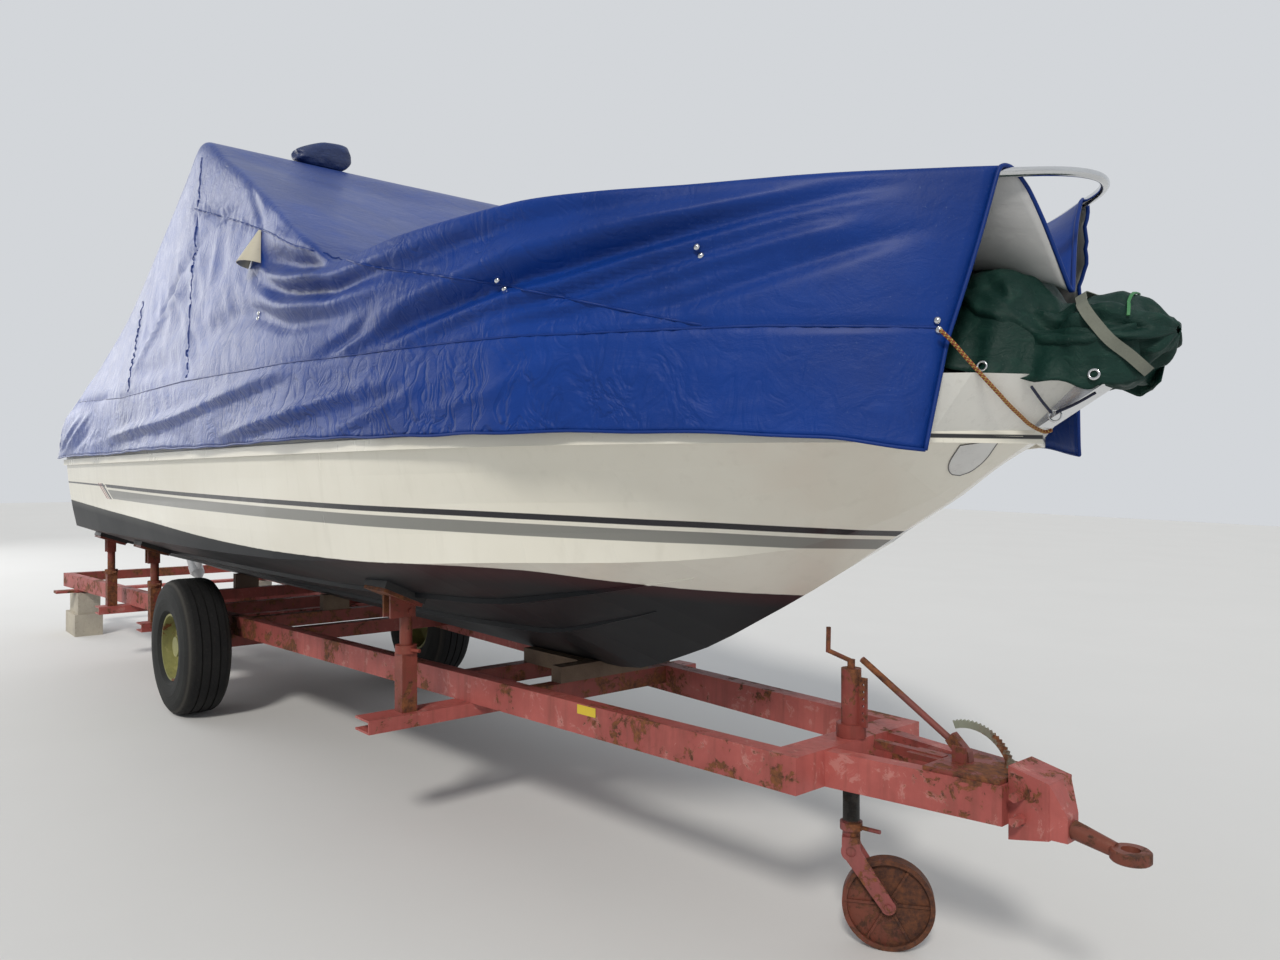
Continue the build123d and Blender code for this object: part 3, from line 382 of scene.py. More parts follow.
rustLooks = {
    "faded red paint": {
        "base": (0.43, 0.105, 0.090), "shade": (0.26, 0.056, 0.048), "streak": (0.15, 0.05, 0.035),
        "chalkColour": (0.52, 0.25, 0.22), "chalk": 0.5, "rust": 0.535},
    # a darker copy of the faded red paint: painted shade on the cross members, axle, jockey tube and brake
    # rod under the boat
    "red paint with painted shade": {
        "base": (0.26, 0.055, 0.042), "shade": (0.15, 0.03, 0.025), "streak": (0.10, 0.035, 0.025),
        "chalkColour": (0.36, 0.13, 0.10), "rust": 0.50},
    "rusty red iron": {
        "base": (0.22, 0.045, 0.03), "shade": (0.12, 0.03, 0.02), "streak": (0.10, 0.04, 0.02),
        "chalkColour": (0.30, 0.10, 0.07), "rust": 0.48},
    "rusty iron": {
        "base": (0.17, 0.045, 0.026), "shade": (0.075, 0.024, 0.015), "streak": (0.06, 0.025, 0.015),
        "chalkColour": (0.20, 0.08, 0.05), "rust": 0.46, "rustLow": (0.035, 0.014, 0.010),
        "rustHigh": (0.14, 0.050, 0.022)},
    "fork paint and greased tube": {
        "base": (0.30, 0.085, 0.080), "shade": (0.19, 0.050, 0.045), "streak": (0.10, 0.04, 0.02),
        "chalkColour": (0.42, 0.19, 0.17), "rust": 0.52, "oiledAbove": 0.416},
    "worn lever paint": {
        "base": (0.20, 0.055, 0.045), "shade": (0.12, 0.050, 0.042), "streak": (0.10, 0.04, 0.03),
        "chalkColour": (0.27, 0.22, 0.20), "rust": 0.50},
    "grey-green paint": {
        "base": (0.24, 0.26, 0.20), "shade": (0.15, 0.12, 0.09), "streak": (0.14, 0.06, 0.04),
        "chalkColour": (0.35, 0.37, 0.30), "rust": 0.53},
    "yellow-green rim paint": {
        "base": (0.30, 0.29, 0.10), "shade": (0.17, 0.17, 0.07), "streak": (0.08, 0.07, 0.04),
        "chalkColour": (0.40, 0.38, 0.18), "rust": 0.56},
}
for name, look in rustLooks.items():
    addRustyPaint(name, look)

# Reaches are distances from the axle's line.
tyreLook = {
    "wall": (0.024, 0.025, 0.024), "wallShade": (0.016, 0.017, 0.017), "tread": (0.008, 0.008, 0.009),
    "treadShade": (0.013, 0.013, 0.013), "dust": (0.075, 0.070, 0.060), "treadReach": (0.368, 0.392),
    "dustReach": (0.385, 0.398, 0.416), "ringReach": (0.26, 0.27, 0.33, 0.34), "ringTurns": 420.0,
}


def addTyreRubber(look):
    # distance from the axle's line tells tread from sidewall
    made, place = newFinish("tyre rubber")
    x, _, z = place.split()
    dx, dz = x - axleAt[0], z - axleAt[2]
    reach = sums("SQRT", dx * dx + dz * dz)
    fine = place.noise(120.0, 6.0, 0.7)
    patches = place.noise(6.0, 5.0, 0.6).ramp(0.35, 0.65)
    wall = patches.mix(look["wall"], look["wallShade"])
    tread = patches.mix(look["tread"], look["treadShade"])
    colour = reach.ramp(*look["treadReach"]).mix(wall, tread)
    start, full, end = look["dustReach"]
    colour = (reach.ramp(full, end, 0.55, 0.0) * reach.ramp(start, full)).mix(colour, look["dust"])
    colour = fine.ramp(0.55, 0.75, 0.0, 0.4).mix(colour, look["dust"])
    # moulded rings on the sidewall
    first, second, third, last = look["ringReach"]
    rings = sums("SINE", reach * look["ringTurns"]) * reach.ramp(first, second, 0.0, 0.25)
    rings = rings * reach.ramp(third, last, 1.0, 0.0)
    dress(made, {"Base Color": colour, "Roughness": 0.78, "Specular IOR Level": 0.25},
          fine + rings, 0.4, 0.002)


addTyreRubber(tyreLook)
print("plain materials made")


def addTarp(name, look):
    # coated cloth: fine crumple and weave in the bump, worn pale specks, dull patches in the gloss
    made, place = newFinish(name)
    x, _, z = place.split()
    broad = place.noise(1.4, 5.0, 0.6)
    crumple = place.stretch(1.0, 1.0, 1.7).noise(look.get("crumple", 7.0), 6.0, 0.62, 0.7)
    coat, shine = look.get("coat", 0.0), look.get("shine", 0.5)
    if "calm" in look:
        # toward the bow the crumple lies down and the cloth is duller
        start, end, least = look["calm"]
        crumple = sums("MULTIPLY_ADD", crumple - 0.5, x.ramp(start, end, 1.0, least), 0.5)
        start, end, leastCoat, leastShine = look["dull"]
        coat, shine = x.ramp(start, end, coat, leastCoat), x.ramp(start, end, shine, leastShine)
    fine = place.noise(130.0, 5.0, 0.7)
    weave = place.noise(900.0, 2.0, 0.5)
    colour = broad.ramp(0.34, 0.68).mix(look["base"], look["shade"])
    colour = crumple.ramp(0.52, 0.74, 0.0, 0.5).mix(colour, look["worn"])
    specks = fine.ramp(0.62, 0.72) * broad.ramp(0.4, 0.6) * look.get("specks", 0.25)
    height = crumple + (fine * 0.05 + weave * 0.02)
    if "creased" in look:
        # sharp creases where noise crosses its middle, on the band below the fold and faintly above it
        low, high, rest = look["creased"]
        crossing = place.stretch(1.3, 1.0, 0.9).noise(6.5, 3.0, 0.5, 1.1)
        crease = sums("ABSOLUTE", crossing - 0.5).ramp(0.0, 0.10)
        where = z.ramp(low, high, 1.0, rest) * x.ramp(3.0, 3.9, 1.0, 0.15)
        height = height + crease * where * 0.60
    dress(made, {"Base Color": specks.mix(colour, look["dust"]),
                 "Roughness": (crumple + fine * 0.4).ramp(0.45, 0.95, *look["rough"]),
                 "Specular IOR Level": shine, "Coat Weight": coat,
                 "Coat Roughness": look.get("coatRough", 0.3)}, height, look["bump"], look["bumpDepth"])


tarpLooks = {
    "blue tarpaulin": {
        "base": (0.004, 0.041, 0.250), "shade": (0.003, 0.028, 0.175), "worn": (0.008, 0.058, 0.31),
        "dust": (0.20, 0.27, 0.40), "rough": (0.40, 0.56), "coat": 0.50, "coatRough": 0.32, "shine": 0.35,
        "bump": 0.55, "bumpDepth": 0.020, "calm": (1.2, 3.2, 0.40), "creased": (1.88, 1.98, 0.35),
        "dull": (0.3, 2.8, 0.08, 0.16)},
    "tarpaulin lining": {
        "base": (0.60, 0.60, 0.59), "shade": (0.50, 0.50, 0.50), "worn": (0.64, 0.64, 0.63),
        "dust": (0.3, 0.3, 0.28), "rough": (0.5, 0.65), "bump": 0.3, "bumpDepth": 0.012},
    "navy bag": {
        "base": (0.010, 0.034, 0.150), "shade": (0.006, 0.020, 0.085), "worn": (0.020, 0.055, 0.20),
        "dust": (0.12, 0.15, 0.22), "rough": (0.34, 0.5), "coat": 0.25, "crumple": 22.0, "bump": 0.7,
        "bumpDepth": 0.012},
    "tarpaulin seams": {
        "base": (0.005, 0.034, 0.205), "shade": (0.004, 0.026, 0.160), "worn": (0.010, 0.045, 0.24),
        "dust": (0.14, 0.18, 0.28), "rough": (0.42, 0.56), "coat": 0.40, "shine": 0.35, "coatRough": 0.36,
        "calm": (1.2, 3.2, 0.40), "crumple": 40.0, "bump": 0.5, "bumpDepth": 0.003,
        "dull": (0.3, 2.8, 0.08, 0.16)},
    "green tarpaulin": {
        "base": (0.008, 0.036, 0.027), "shade": (0.005, 0.023, 0.019), "worn": (0.018, 0.062, 0.046),
        "dust": (0.20, 0.26, 0.22), "rough": (0.42, 0.6), "coat": 0.0, "shine": 0.18, "crumple": 16.0,
        "bump": 0.55, "bumpDepth": 0.014, "specks": 0.35},
}
for name, look in tarpLooks.items():
    addTarp(name, look)

# Hull paint: heights of the painted lines as (x, height), and distances along the boat from the
# stripes' slanted start. The curves' frame is its reach aft, its length, its foot and its height.
hullLook = {
    "antifoul": [(-2.02, 1.313), (-0.03, 1.228), (1.707, 1.158), (2.764, 1.154), (3.627, 1.166),
                 (3.876, 1.13), (4.069, 1.09), (4.26, 1.06)],
    "stripe": [(-2.05, 1.460), (-0.831, 1.439), (0.511, 1.411), (1.808, 1.391), (2.831, 1.378),
               (3.716, 1.366), (4.143, 1.349), (4.408, 1.331), (4.70, 1.304)],
    "stripeDepth": 0.021, "gap": 0.014, "band": 0.056, "bandLoss": 0.0035,
    "white": (0.80, 0.775, 0.68), "whiteShade": (0.75, 0.72, 0.62), "stripeColour": (0.012, 0.011, 0.016),
    "bandColour": (0.225, 0.225, 0.205), "bottom": (0.008, 0.009, 0.011), "bottomWorn": (0.017, 0.019, 0.022),
    "red": (0.22, 0.03, 0.035), "maroon": (0.040, 0.014, 0.017),
    "curveFrame": (2.2, 7.6, 1.0, 0.6),
    "start": (-0.831, 1.439), "startSlant": 2.07, "slash": (-0.075, -0.030), "slashDepth": (-0.004, 0.098),
    "redLines": ((-0.165, -0.140), (-0.115, -0.092)), "thinLine": (0.004, 0.016),
    "streak": (0.45, 0.42, 0.33), "speck": (0.42, 0.40, 0.34), "scum": (0.20, 0.20, 0.19),
    "scuff": (0.045, 0.047, 0.050), "insert": (1.592, 1.604), "insertFrom": (4.93, 4.97),
    "insertColour": (0.02, 0.02, 0.022), "strakeSpeck": (0.40, 0.37, 0.30),
}


def lineHeight(x, points):
    # height as a smooth curve of x, both scaled to run from 0 to 1
    aft, length, low, height = hullLook["curveFrame"]
    made = x.tree.nodes.new("ShaderNodeFloatCurve")
    track = made.mapping.curves[0].points
    scaled = [((px + aft) / length, (pz - low) / height) for px, pz in points]
    track[0].location, track[1].location = scaled[0], scaled[-1]
    for point in scaled[1:-1]:
        track.new(*point)
    made.mapping.update()
    plug(made.inputs["Value"], sums("DIVIDE", x + aft, length))
    return Shade(x.tree, made.outputs[0]) * height + low


def levelSpace(place):
    # level x and z of the point, by undoing the parking pitch
    found = []
    for way, offset in ((parkVector(1, 0, 0), 0.0), (parkVector(0, 0, 1), stance["axleHeight"])):
        dot = addNode(place.tree, "VectorMath", "Value", {0: place, 1: tuple(way)}, operation="DOT_PRODUCT")
        found.append(dot + (offset - float(np.dot(way, axleAt))))
    return found


def between(value, low, high, soft=0.0012):
    # 1 between low and high, with edges as soft as the given length
    return (value - low).ramp(-soft, soft) * (high - value).ramp(-soft, soft)


def addHullPaint(look):
    made, place = newFinish("hull gelcoat and bottom paint")
    x, z = levelSpace(place)
    broad = place.noise(1.1, 5.0, 0.6)
    fine = place.noise(80.0, 6.0, 0.7)
    streak = place.stretch(9, 9, 0.8).noise(1.6, 5.0, 0.6)
    colour = broad.ramp(0.35, 0.65).mix(look["white"], look["whiteShade"])
    colour = streak.ramp(0.55, 0.8, 0.0, 0.18).mix(colour, look["streak"])
    colour = (fine.ramp(0.66, 0.74) * 0.25).mix(colour, look["speck"])
    # depth under the stripe's top, and distance forward of the slanted start
    under = lineHeight(x, look["stripe"]) - z
    startX, startZ = look["start"]
    along = x - ((startZ - z) * look["startSlant"] + startX)
    bandTop = look["stripeDepth"] + look["gap"]
    band = between(under, bandTop, bandTop + look["band"] - x * look["bandLoss"]) * along.ramp(0.0, 0.003)
    # the slanted start: a dark slash with two thin red lines behind it
    high = between(under, *look["slashDepth"])
    slash = between(along, *look["slash"], 0.004) * high
    red = sums("MAXIMUM", *(between(along, *line, 0.004) for line in look["redLines"])) * high
    thin = between(under, *look["thinLine"]) * (1.0 - along.ramp(-0.003, 0.0))
    stripe = sums("MAXIMUM", between(under, 0.0, look["stripeDepth"]) * along.ramp(0.02, 0.03), thin)
    colour = band.mix(colour, look["bandColour"])
    colour = stripe.mix(colour, look["stripeColour"])
    colour = slash.mix(colour, look["stripeColour"])
    colour = red.mix(colour, look["red"])
    # bottom paint, maroon along its edge at the bow and with scum along it aft
    wobble = (place.noise(18.0, 3.0, 0.5) - 0.5) * 0.004
    below = lineHeight(x, look["antifoul"]) - z + wobble
    bottom = broad.ramp(0.3, 0.7).mix(look["bottom"], look["bottomWorn"])
    bottom = (below.ramp(0.02, 0.075, 1.0, 0.0) * x.ramp(2.4, 3.4)).mix(bottom, look["maroon"])
    bottom = (below.ramp(0.0, 0.05, 0.35, 0.0) * x.ramp(-1.0, 1.5, 1.0, 0.0)).mix(bottom, look["scum"])
    bottom = fine.ramp(0.6, 0.75, 0.0, 0.3).mix(bottom, look["scuff"])
    painted = below.ramp(-0.0015, 0.0015)
    rough = addNode(place.tree, "Mix", 0, {0: painted, 2: streak.ramp(0.4, 0.8, 0.16, 0.30),
                                           3: broad.ramp(0.3, 0.7, 0.40, 0.52)})
    dress(made, {"Base Color": painted.mix(colour, bottom), "Roughness": rough,
                 "Specular IOR Level": below.ramp(-0.0015, 0.0015, 0.5, 0.12)},
          place.noise(3.0, 2.0, 0.4) + fine * 0.02, 0.12, 0.012)


def addStrakePaint(look):
    # cream moulding whose thin dark insert shows at the bow
    made, place = newFinish("rubbing strake")
    x, z = levelSpace(place)
    broad = place.noise(2.0, 5.0, 0.6)
    fine = place.noise(90.0, 6.0, 0.7)
    cream = broad.ramp(0.35, 0.65).mix(look["white"], look["whiteShade"])
    cream = fine.ramp(0.6, 0.75, 0.0, 0.3).mix(cream, look["strakeSpeck"])
    insert = between(z, *look["insert"]) * x.ramp(*look["insertFrom"])
    dress(made, {"Base Color": insert.mix(cream, look["insertColour"]),
                 "Roughness": broad.ramp(0.3, 0.7, 0.22, 0.4)}, fine, 0.1, 0.001)


def addRopeFinish(name, base, tracer):
    # braided cord: turning bands of two colours along the cord's own length
    made, place = newFinish(name)
    around, along, _ = addNode(place.tree, "UVMap", 0, {}, uv_map="UVMap").split()
    wave = sums("SINE", around * 6.283 + along * 26.0)
    grain = place.noise(420.0, 3.0, 0.6)
    colour = wave.ramp(0.45, 0.6).mix(base, tracer)
    dress(made, {"Base Color": grain.ramp(0.45, 0.75, 0.0, 0.5).mix(colour, (0.06, 0.03, 0.02)),
                 "Roughness": 0.75}, sums("ABSOLUTE", wave) + grain, 0.7, 0.0015)


addHullPaint(hullLook)
addStrakePaint(hullLook)
addRopeFinish("orange lashing", (0.26, 0.050, 0.016), (0.52, 0.38, 0.09))
print("hull and cloth materials made")

nodeFinishes = {
    "hull gelcoat and bottom paint": "hull", "deck gelcoat": "deck", "rubbing strake": "rub_strake",
    "polished steel": "stem_plate pulpit side_rails hoop_bar hoop_legs", "blue tarpaulin": "cover lamp_bag",
    "green tarpaulin": "bow_cover", "vent plastic": "cover_vent", "tyre rubber": "port_tyre starboard_tyre",
    "drive paint": "drive_shield drive_yoke drive_head drive_leg", "propeller metal": "propeller",
    "faded red paint": "port_beam starboard_beam front_member drawbar coupling_head support_arms",
    # the parts under the boat take the darker red paint, which is painted shade
    "red paint with painted shade": "cross_members axle jockey_tube brake_rod", "rusty iron": "towing_eye jockey_wheel",
    "rusty red iron": "jockey_crank support_posts", "fork paint and greased tube": "jockey_fork",
    "worn lever paint": "brake_lever", "grey-green paint": "brake_quadrant", "black rubber": "support_pads",
    "yellow-green rim paint": "port_rim starboard_rim", "weathered timber": "keel_blocks",
    "weathered concrete": "ground_blocks",
}
for finish, names in nodeFinishes.items():
    for name in names.split():
        slots = nodes[name].data.materials
        slots.clear()
        slots.append(finishes[finish])
print("CAD nodes painted")

# Cover: a cloth surface over the hoop and the rails, open at the bow.
coverLook = {
    "portColumns": 54, "starboardColumns": 96, "stations": 268, "thick": 0.0035, "foldGain": 1.6,
    "curtainRows": 8, "curtainFoot": 1.640, "curtainWave": 0.012, "hoopTop": 3.36, "roundings": 4,
    # the port side's folds are shifted forward and shallower: shift, share of the height
    "portFolds": (0.35, 0.8),
    # crumples' heights behind the vent, all over, and on the band below the fold seam
    "crumples": (0.011, 0.006, 0.007),
    # gathers at the fold, the shoulder and the upright seams: reach, height, waves, sway, its waves
    "gathers": ((0.055, 0.006, 95, 3, 9), (0.04, 0.005, 120, 4, 7), (0.05, 0.005, 105, 3, 11)),
    # depth of the valleys along the fold seam and the shoulder seam, and their half width
    "valleys": (0.006, 0.004), "valleyWide": 0.012,
    # heights on the top: pulls from the hoop, sags behind it, ripples all over
    "top": (0.006, 0.008, 0.004), "hemSwing": (0.006, 0.004), "hemDip": (0.004, 0.002),
    # the grid's row, a little aft of the hoop, whose girth is the cut's width, and the cut's spare
    "girthRow": 100, "cutSpare": 1.25,
    # x, ridge z, crest half, shoulder half, shoulder z, fold half, fold z, hem half, hem z
    "rows": (
        (-2.112, 1.925, 1.000, 1.060, 1.945, 1.172, 1.880, 1.196, 1.632),
        (-1.800, 2.105, 1.030, 1.085, 2.120, 1.195, 1.930, 1.208, 1.634),
        (-1.200, 2.275, 1.030, 1.085, 2.288, 1.205, 1.965, 1.215, 1.636),
        (-0.600, 2.500, 1.010, 1.070, 2.512, 1.208, 1.965, 1.216, 1.637),
        (0.000, 2.850, 0.980, 1.045, 2.862, 1.210, 1.960, 1.217, 1.637),
        (0.560, 3.240, 0.960, 1.012, 3.248, 1.210, 1.955, 1.217, 1.637),
        (0.790, 3.355, 0.950, 1.014, 3.355, 1.210, 1.950, 1.217, 1.637),
        (1.200, 3.120, 0.960, 1.022, 3.166, 1.208, 1.942, 1.216, 1.636),
        (1.900, 2.720, 1.010, 1.066, 2.806, 1.205, 1.930, 1.212, 1.634),
        (2.550, 2.420, 1.080, 1.135, 2.480, 1.196, 1.915, 1.204, 1.632),
        (2.900, 2.330, 1.092, 1.143, 2.326, 1.175, 1.905, 1.183, 1.631),
        (3.300, 2.270, 1.087, 1.138, 2.326, 1.153, 1.898, 1.161, 1.628),
        (3.600, 2.240, 1.067, 1.118, 2.326, 1.122, 1.890, 1.130, 1.626),
        (3.973, 2.210, 1.010, 1.061, 2.326, 1.065, 1.880, 1.073, 1.620),
        (4.224, 2.190, 0.899, 0.950, 2.326, 0.954, 1.870, 0.964, 1.615),
        (4.480, 2.165, 0.736, 0.787, 2.326, 0.809, 1.862, 0.823, 1.606),
        (4.821, 2.130, 0.490, 0.541, 2.326, 0.596, 1.858, 0.618, 1.588),
        (4.990, 2.090, 0.356, 0.407, 2.326, 0.461, 1.858, 0.491, 1.560),
        (5.150, 2.030, 0.206, 0.257, 2.326, 0.274, 1.858, 0.324, 1.545),
        (5.240, 1.980, 0.120, 0.165, 2.320, 0.180, 1.858, 0.230, 1.540)),
    # front edge: share of the half girth, x
    "front": ((0, 5.215), (0.30, 5.165), (0.36, 5.148), (0.42, 5.140), (0.82, 5.058), (1.0, 5.032)),
    # folds on a side: points (x, z), half width, height outward; a negative height is a valley
    "folds": (
        (((3.11, 1.964), (4.13, 2.10), (5.02, 2.31)), 0.036, -0.030),
        (((3.05, 2.03), (4.13, 2.18), (5.02, 2.33)), 0.040, 0.022),
        (((3.47, 1.943), (4.14, 2.02), (4.80, 2.20)), 0.030, -0.024),
        (((3.36, 1.965), (4.13, 2.06), (4.95, 2.27)), 0.030, 0.020),
        (((3.77, 1.936), (4.13, 1.965), (4.75, 2.13)), 0.026, -0.018),
        (((3.72, 1.955), (4.20, 2.005), (4.85, 2.18)), 0.026, 0.016),
        (((4.10, 1.930), (4.45, 1.98), (4.98, 2.15)), 0.026, -0.014),
        (((3.00, 2.16), (4.00, 2.27), (4.75, 2.33)), 0.034, -0.014),
        (((2.80, 2.22), (3.60, 2.30), (4.40, 2.335)), 0.034, 0.016),
        (((2.80, 1.955), (3.02, 2.00), (3.25, 2.08)), 0.022, -0.015),
        (((2.95, 1.955), (3.20, 1.99), (3.45, 2.06)), 0.020, 0.012),
        (((2.05, 2.47), (2.45, 2.375), (2.85, 2.325), (3.30, 2.315)), 0.042, -0.036),
        (((2.10, 2.39), (2.50, 2.31), (2.95, 2.275), (3.40, 2.30)), 0.036, 0.028),
        (((1.98, 2.40), (2.35, 2.275), (2.85, 2.205), (3.30, 2.235)), 0.040, -0.030),
        (((2.00, 2.30), (2.45, 2.20), (2.95, 2.15), (3.40, 2.18)), 0.040, 0.022),
        (((1.95, 2.25), (2.45, 2.12), (3.00, 2.09)), 0.040, -0.016),
        (((2.10, 2.58), (2.60, 2.44), (3.10, 2.355), (3.70, 2.34)), 0.034, 0.030),
        (((1.62, 2.95), (1.80, 2.80), (1.97, 2.64)), 0.022, -0.020),
        (((1.70, 2.96), (1.88, 2.80), (2.03, 2.66)), 0.024, 0.014),
        (((1.10, 2.78), (1.45, 2.83), (1.80, 2.90)), 0.022, -0.010),
        (((1.05, 2.90), (1.40, 2.94), (1.70, 3.02)), 0.022, -0.009),
        (((0.30, 2.30), (0.75, 2.62), (1.15, 2.76)), 0.024, -0.012),
        (((0.05, 2.12), (0.55, 2.42), (0.95, 2.55)), 0.024, 0.012),
        (((1.30, 2.22), (1.75, 2.24), (2.25, 2.20)), 0.060, -0.016),
        (((0.10, 2.12), (0.60, 2.10), (1.05, 2.10)), 0.045, -0.012),
        (((-0.42, 1.735), (0.90, 1.785), (2.50, 1.925)), 0.034, 0.018),
        (((-0.30, 1.690), (1.00, 1.735), (2.60, 1.880)), 0.034, -0.016),
        (((1.73, 1.672), (2.50, 1.735), (3.37, 1.824)), 0.030, 0.018),
        (((1.90, 1.650), (2.65, 1.690), (3.40, 1.765)), 0.026, -0.016),
        (((2.95, 1.655), (3.30, 1.730), (3.55, 1.80)), 0.020, 0.012),
        (((3.55, 1.700), (3.90, 1.745), (4.15, 1.84)), 0.020, 0.009),
        (((-1.95, 1.70), (-1.55, 1.82), (-1.25, 1.92)), 0.022, 0.012),
        (((-1.75, 1.68), (-1.35, 1.80), (-0.95, 1.93)), 0.022, 0.011),
        (((-1.45, 1.68), (-1.00, 1.79), (-0.60, 1.93)), 0.024, -0.011)),
    # seams on the starboard side as (x, z): the fold seam, the shoulder seam and the upright seams
    "foldSeam": ((-2.02, 1.93), (-1.642, 2.04), (-0.107, 1.975), (1.102, 1.985), (2.009, 1.964), (2.67, 1.95),
                 (3.083, 1.936), (3.66, 1.923), (4.154, 1.909), (4.652, 1.904), (5.031, 1.884)),
    "upperSeam": ((0.86, 2.96), (1.60, 2.74), (2.188, 2.555), (2.468, 2.453), (3.208, 2.242), (3.905, 2.085),
                  (4.144, 2.018), (4.357, 1.955), (4.514, 1.914)),
    "uprightSeams": (((0.86, 3.25), (0.93, 2.9), (1.02, 2.5), (1.15, 2.0)),
                     ((-0.09, 2.58), (0.0, 2.25), (0.03, 2.0))),
    "snaps": ((3.905, 2.085), (4.50, 2.125), (5.035, 1.890), (2.03, 2.215)),
}


def easedRows(rows, x):
    # each column of the table at x, eased between rows without overshoot
    rows = np.array(rows)
    knots, table = rows[:, 0], rows[:, 1:]
    slope = np.diff(table, axis=0) / np.diff(knots)[:, None]
    before, after = np.vstack([slope[:1], slope]), np.vstack([slope, slope[-1:]])
    both = before * after
    ends = np.where(both > 0, 2 * both / np.where(both > 0, before + after, 1.0), 0.0)
    x = np.clip(x, knots[0], knots[-1])
    k = np.clip(np.searchsorted(knots, x, side="right") - 1, 0, len(knots) - 2)
    span = knots[k + 1] - knots[k]
    t = ((x - knots[k]) / span)[..., None]
    span = span[..., None]
    return (table[k] * (1 + 2 * t) * (1 - t) ** 2 + table[k + 1] * t * t * (3 - 2 * t)
            + span * t * (1 - t) * (ends[k] * (1 - t) - ends[k + 1] * t))


# share of the half girth at the ridge, the crest, the shoulder, the fold and the hem
girthMarks = np.array((0.0, 0.36, 0.42, 0.82, 1.0))
crestMark, foldMark = girthMarks[1], girthMarks[3]
coverStern = coverLook["rows"][0][0]


def coverPlain(x, g):
    # level y and z of the cover at x, with g from 0 on the ridge to 1 at the hem
    columns = np.moveaxis(easedRows(coverLook["rows"], x), -1, 0)
    ridge, crestY, shoulderY, shoulderZ, foldY, foldZ, hemY, hemZ = columns
    k = np.clip(np.searchsorted(girthMarks, g, side="right") - 1, 0, 3)
    t = (g - girthMarks[k]) / (girthMarks[k + 1] - girthMarks[k])
    found = []
    for column in ((0 * ridge, crestY, shoulderY, foldY, hemY), (ridge, shoulderZ, shoulderZ, foldZ, hemZ)):
        low, high = (np.take_along_axis(np.stack(column, -1), j[..., None], -1)[..., 0] for j in (k, k + 1))
        found.append(low * (1 - t) + high * t)
    return found


def pathField(x, z, path):
    # distance from each point to a path, and the share of the path's length at its foot
    path = np.array(path)
    steps = np.diff(path, axis=0)
    sizes = np.linalg.norm(steps, axis=1)
    run = np.concatenate([[0], np.cumsum(sizes)]) / sizes.sum()
    best, share = np.full(x.shape, 9.0), np.zeros(x.shape)
    for k, (start, step) in enumerate(zip(path[:-1], steps)):
        t = ((x - start[0]) * step[0] + (z - start[1]) * step[1]) / (sizes[k] ** 2)
        held = np.clip(t, 0, 1)
        off = np.hypot(x - start[0] - step[0] * held, z - start[1] - step[1] * held)
        nearer = off < best
        best = np.where(nearer, off, best)
        share = np.where(nearer, run[k] + (run[k + 1] - run[k]) * held, share)
    return best, share


def ripples(u, v, seed, count=14, low=1.0, high=3.0):
    # sum of waves of random heading and length, about -1 to 1
    pick = np.random.default_rng(seed)
    total = np.zeros(np.broadcast(u, v).shape)
    for _ in range(count):
        size, turn, start = pick.uniform(low, high), pick.uniform(0, np.pi), pick.uniform(0, 6.28)
        along = u * np.cos(turn) + v * np.sin(turn)
        total += np.sin(size * along * 6.28 + start + 1.3 * np.sin(v * low * 4))
    return total / (1.3 * np.sqrt(count))


def gathers(off, at, look):
    # short waves along a seam that die away within its reach
    reach, high, waves, sway, slow = look
    return high * np.exp(-(off / reach) ** 2) * np.sin(at * waves + sway * np.sin(at * slow))


def foldPush(x, z, shift, scale):
    # how far a side of the cover stands out: its folds, its crumples and the gathers at its seams
    push = np.zeros_like(x)
    atVent, everywhere, onBand = coverLook["crumples"]
    atFold, atShoulder, atUpright = coverLook["gathers"]
    foldValley, shoulderValley = coverLook["valleys"]
    for path, wide, high in coverLook["folds"]:
        off, share = pathField(x - shift, z, path)
        taper = np.sin(np.pi * np.clip(share, 0.02, 0.98)) ** 0.6
        push += coverLook["foldGain"] * high * scale * taper * np.exp(-(off / wide) ** 2)
    # crumpled panels: sharp creases where waves cross zero, strongest behind the vent
    area = np.exp(-((x - 1.1) / 1.1) ** 2 - ((z - 2.35) / 0.5) ** 2)
    push += atVent * area * (0.4 - np.abs(ripples(x, z * 0.9, 3, 10, 1.6, 4.2)))
    push += everywhere * ripples(x + 0.5 * z, z - 0.4 * x, 8, 12, 0.5, 1.4)
    band = np.exp(-((z - 1.76) / 0.10) ** 2)
    push += onBand * band * (0.5 - np.abs(ripples(x * 1.2 - z, z * 1.4, 5, 10, 2.0, 5.0)))
    # gathers at the fold seam, mostly aft, then along the shoulder seam and the upright seams
    off = pathField(x, z, coverLook["foldSeam"])[0]
    aft = 0.35 + 0.65 * np.clip((0.6 - x) / 1.6, 0, 1)
    push += gathers(off, x, atFold) * aft - foldValley * np.exp(-(off / coverLook["valleyWide"]) ** 2)
    off = pathField(x, z, coverLook["upperSeam"])[0]
    push += gathers(off, x, atShoulder) - shoulderValley * np.exp(-(off / coverLook["valleyWide"]) ** 2)
    for path in coverLook["uprightSeams"]:
        push += gathers(pathField(x, z, path)[0], z, atUpright)
    return push


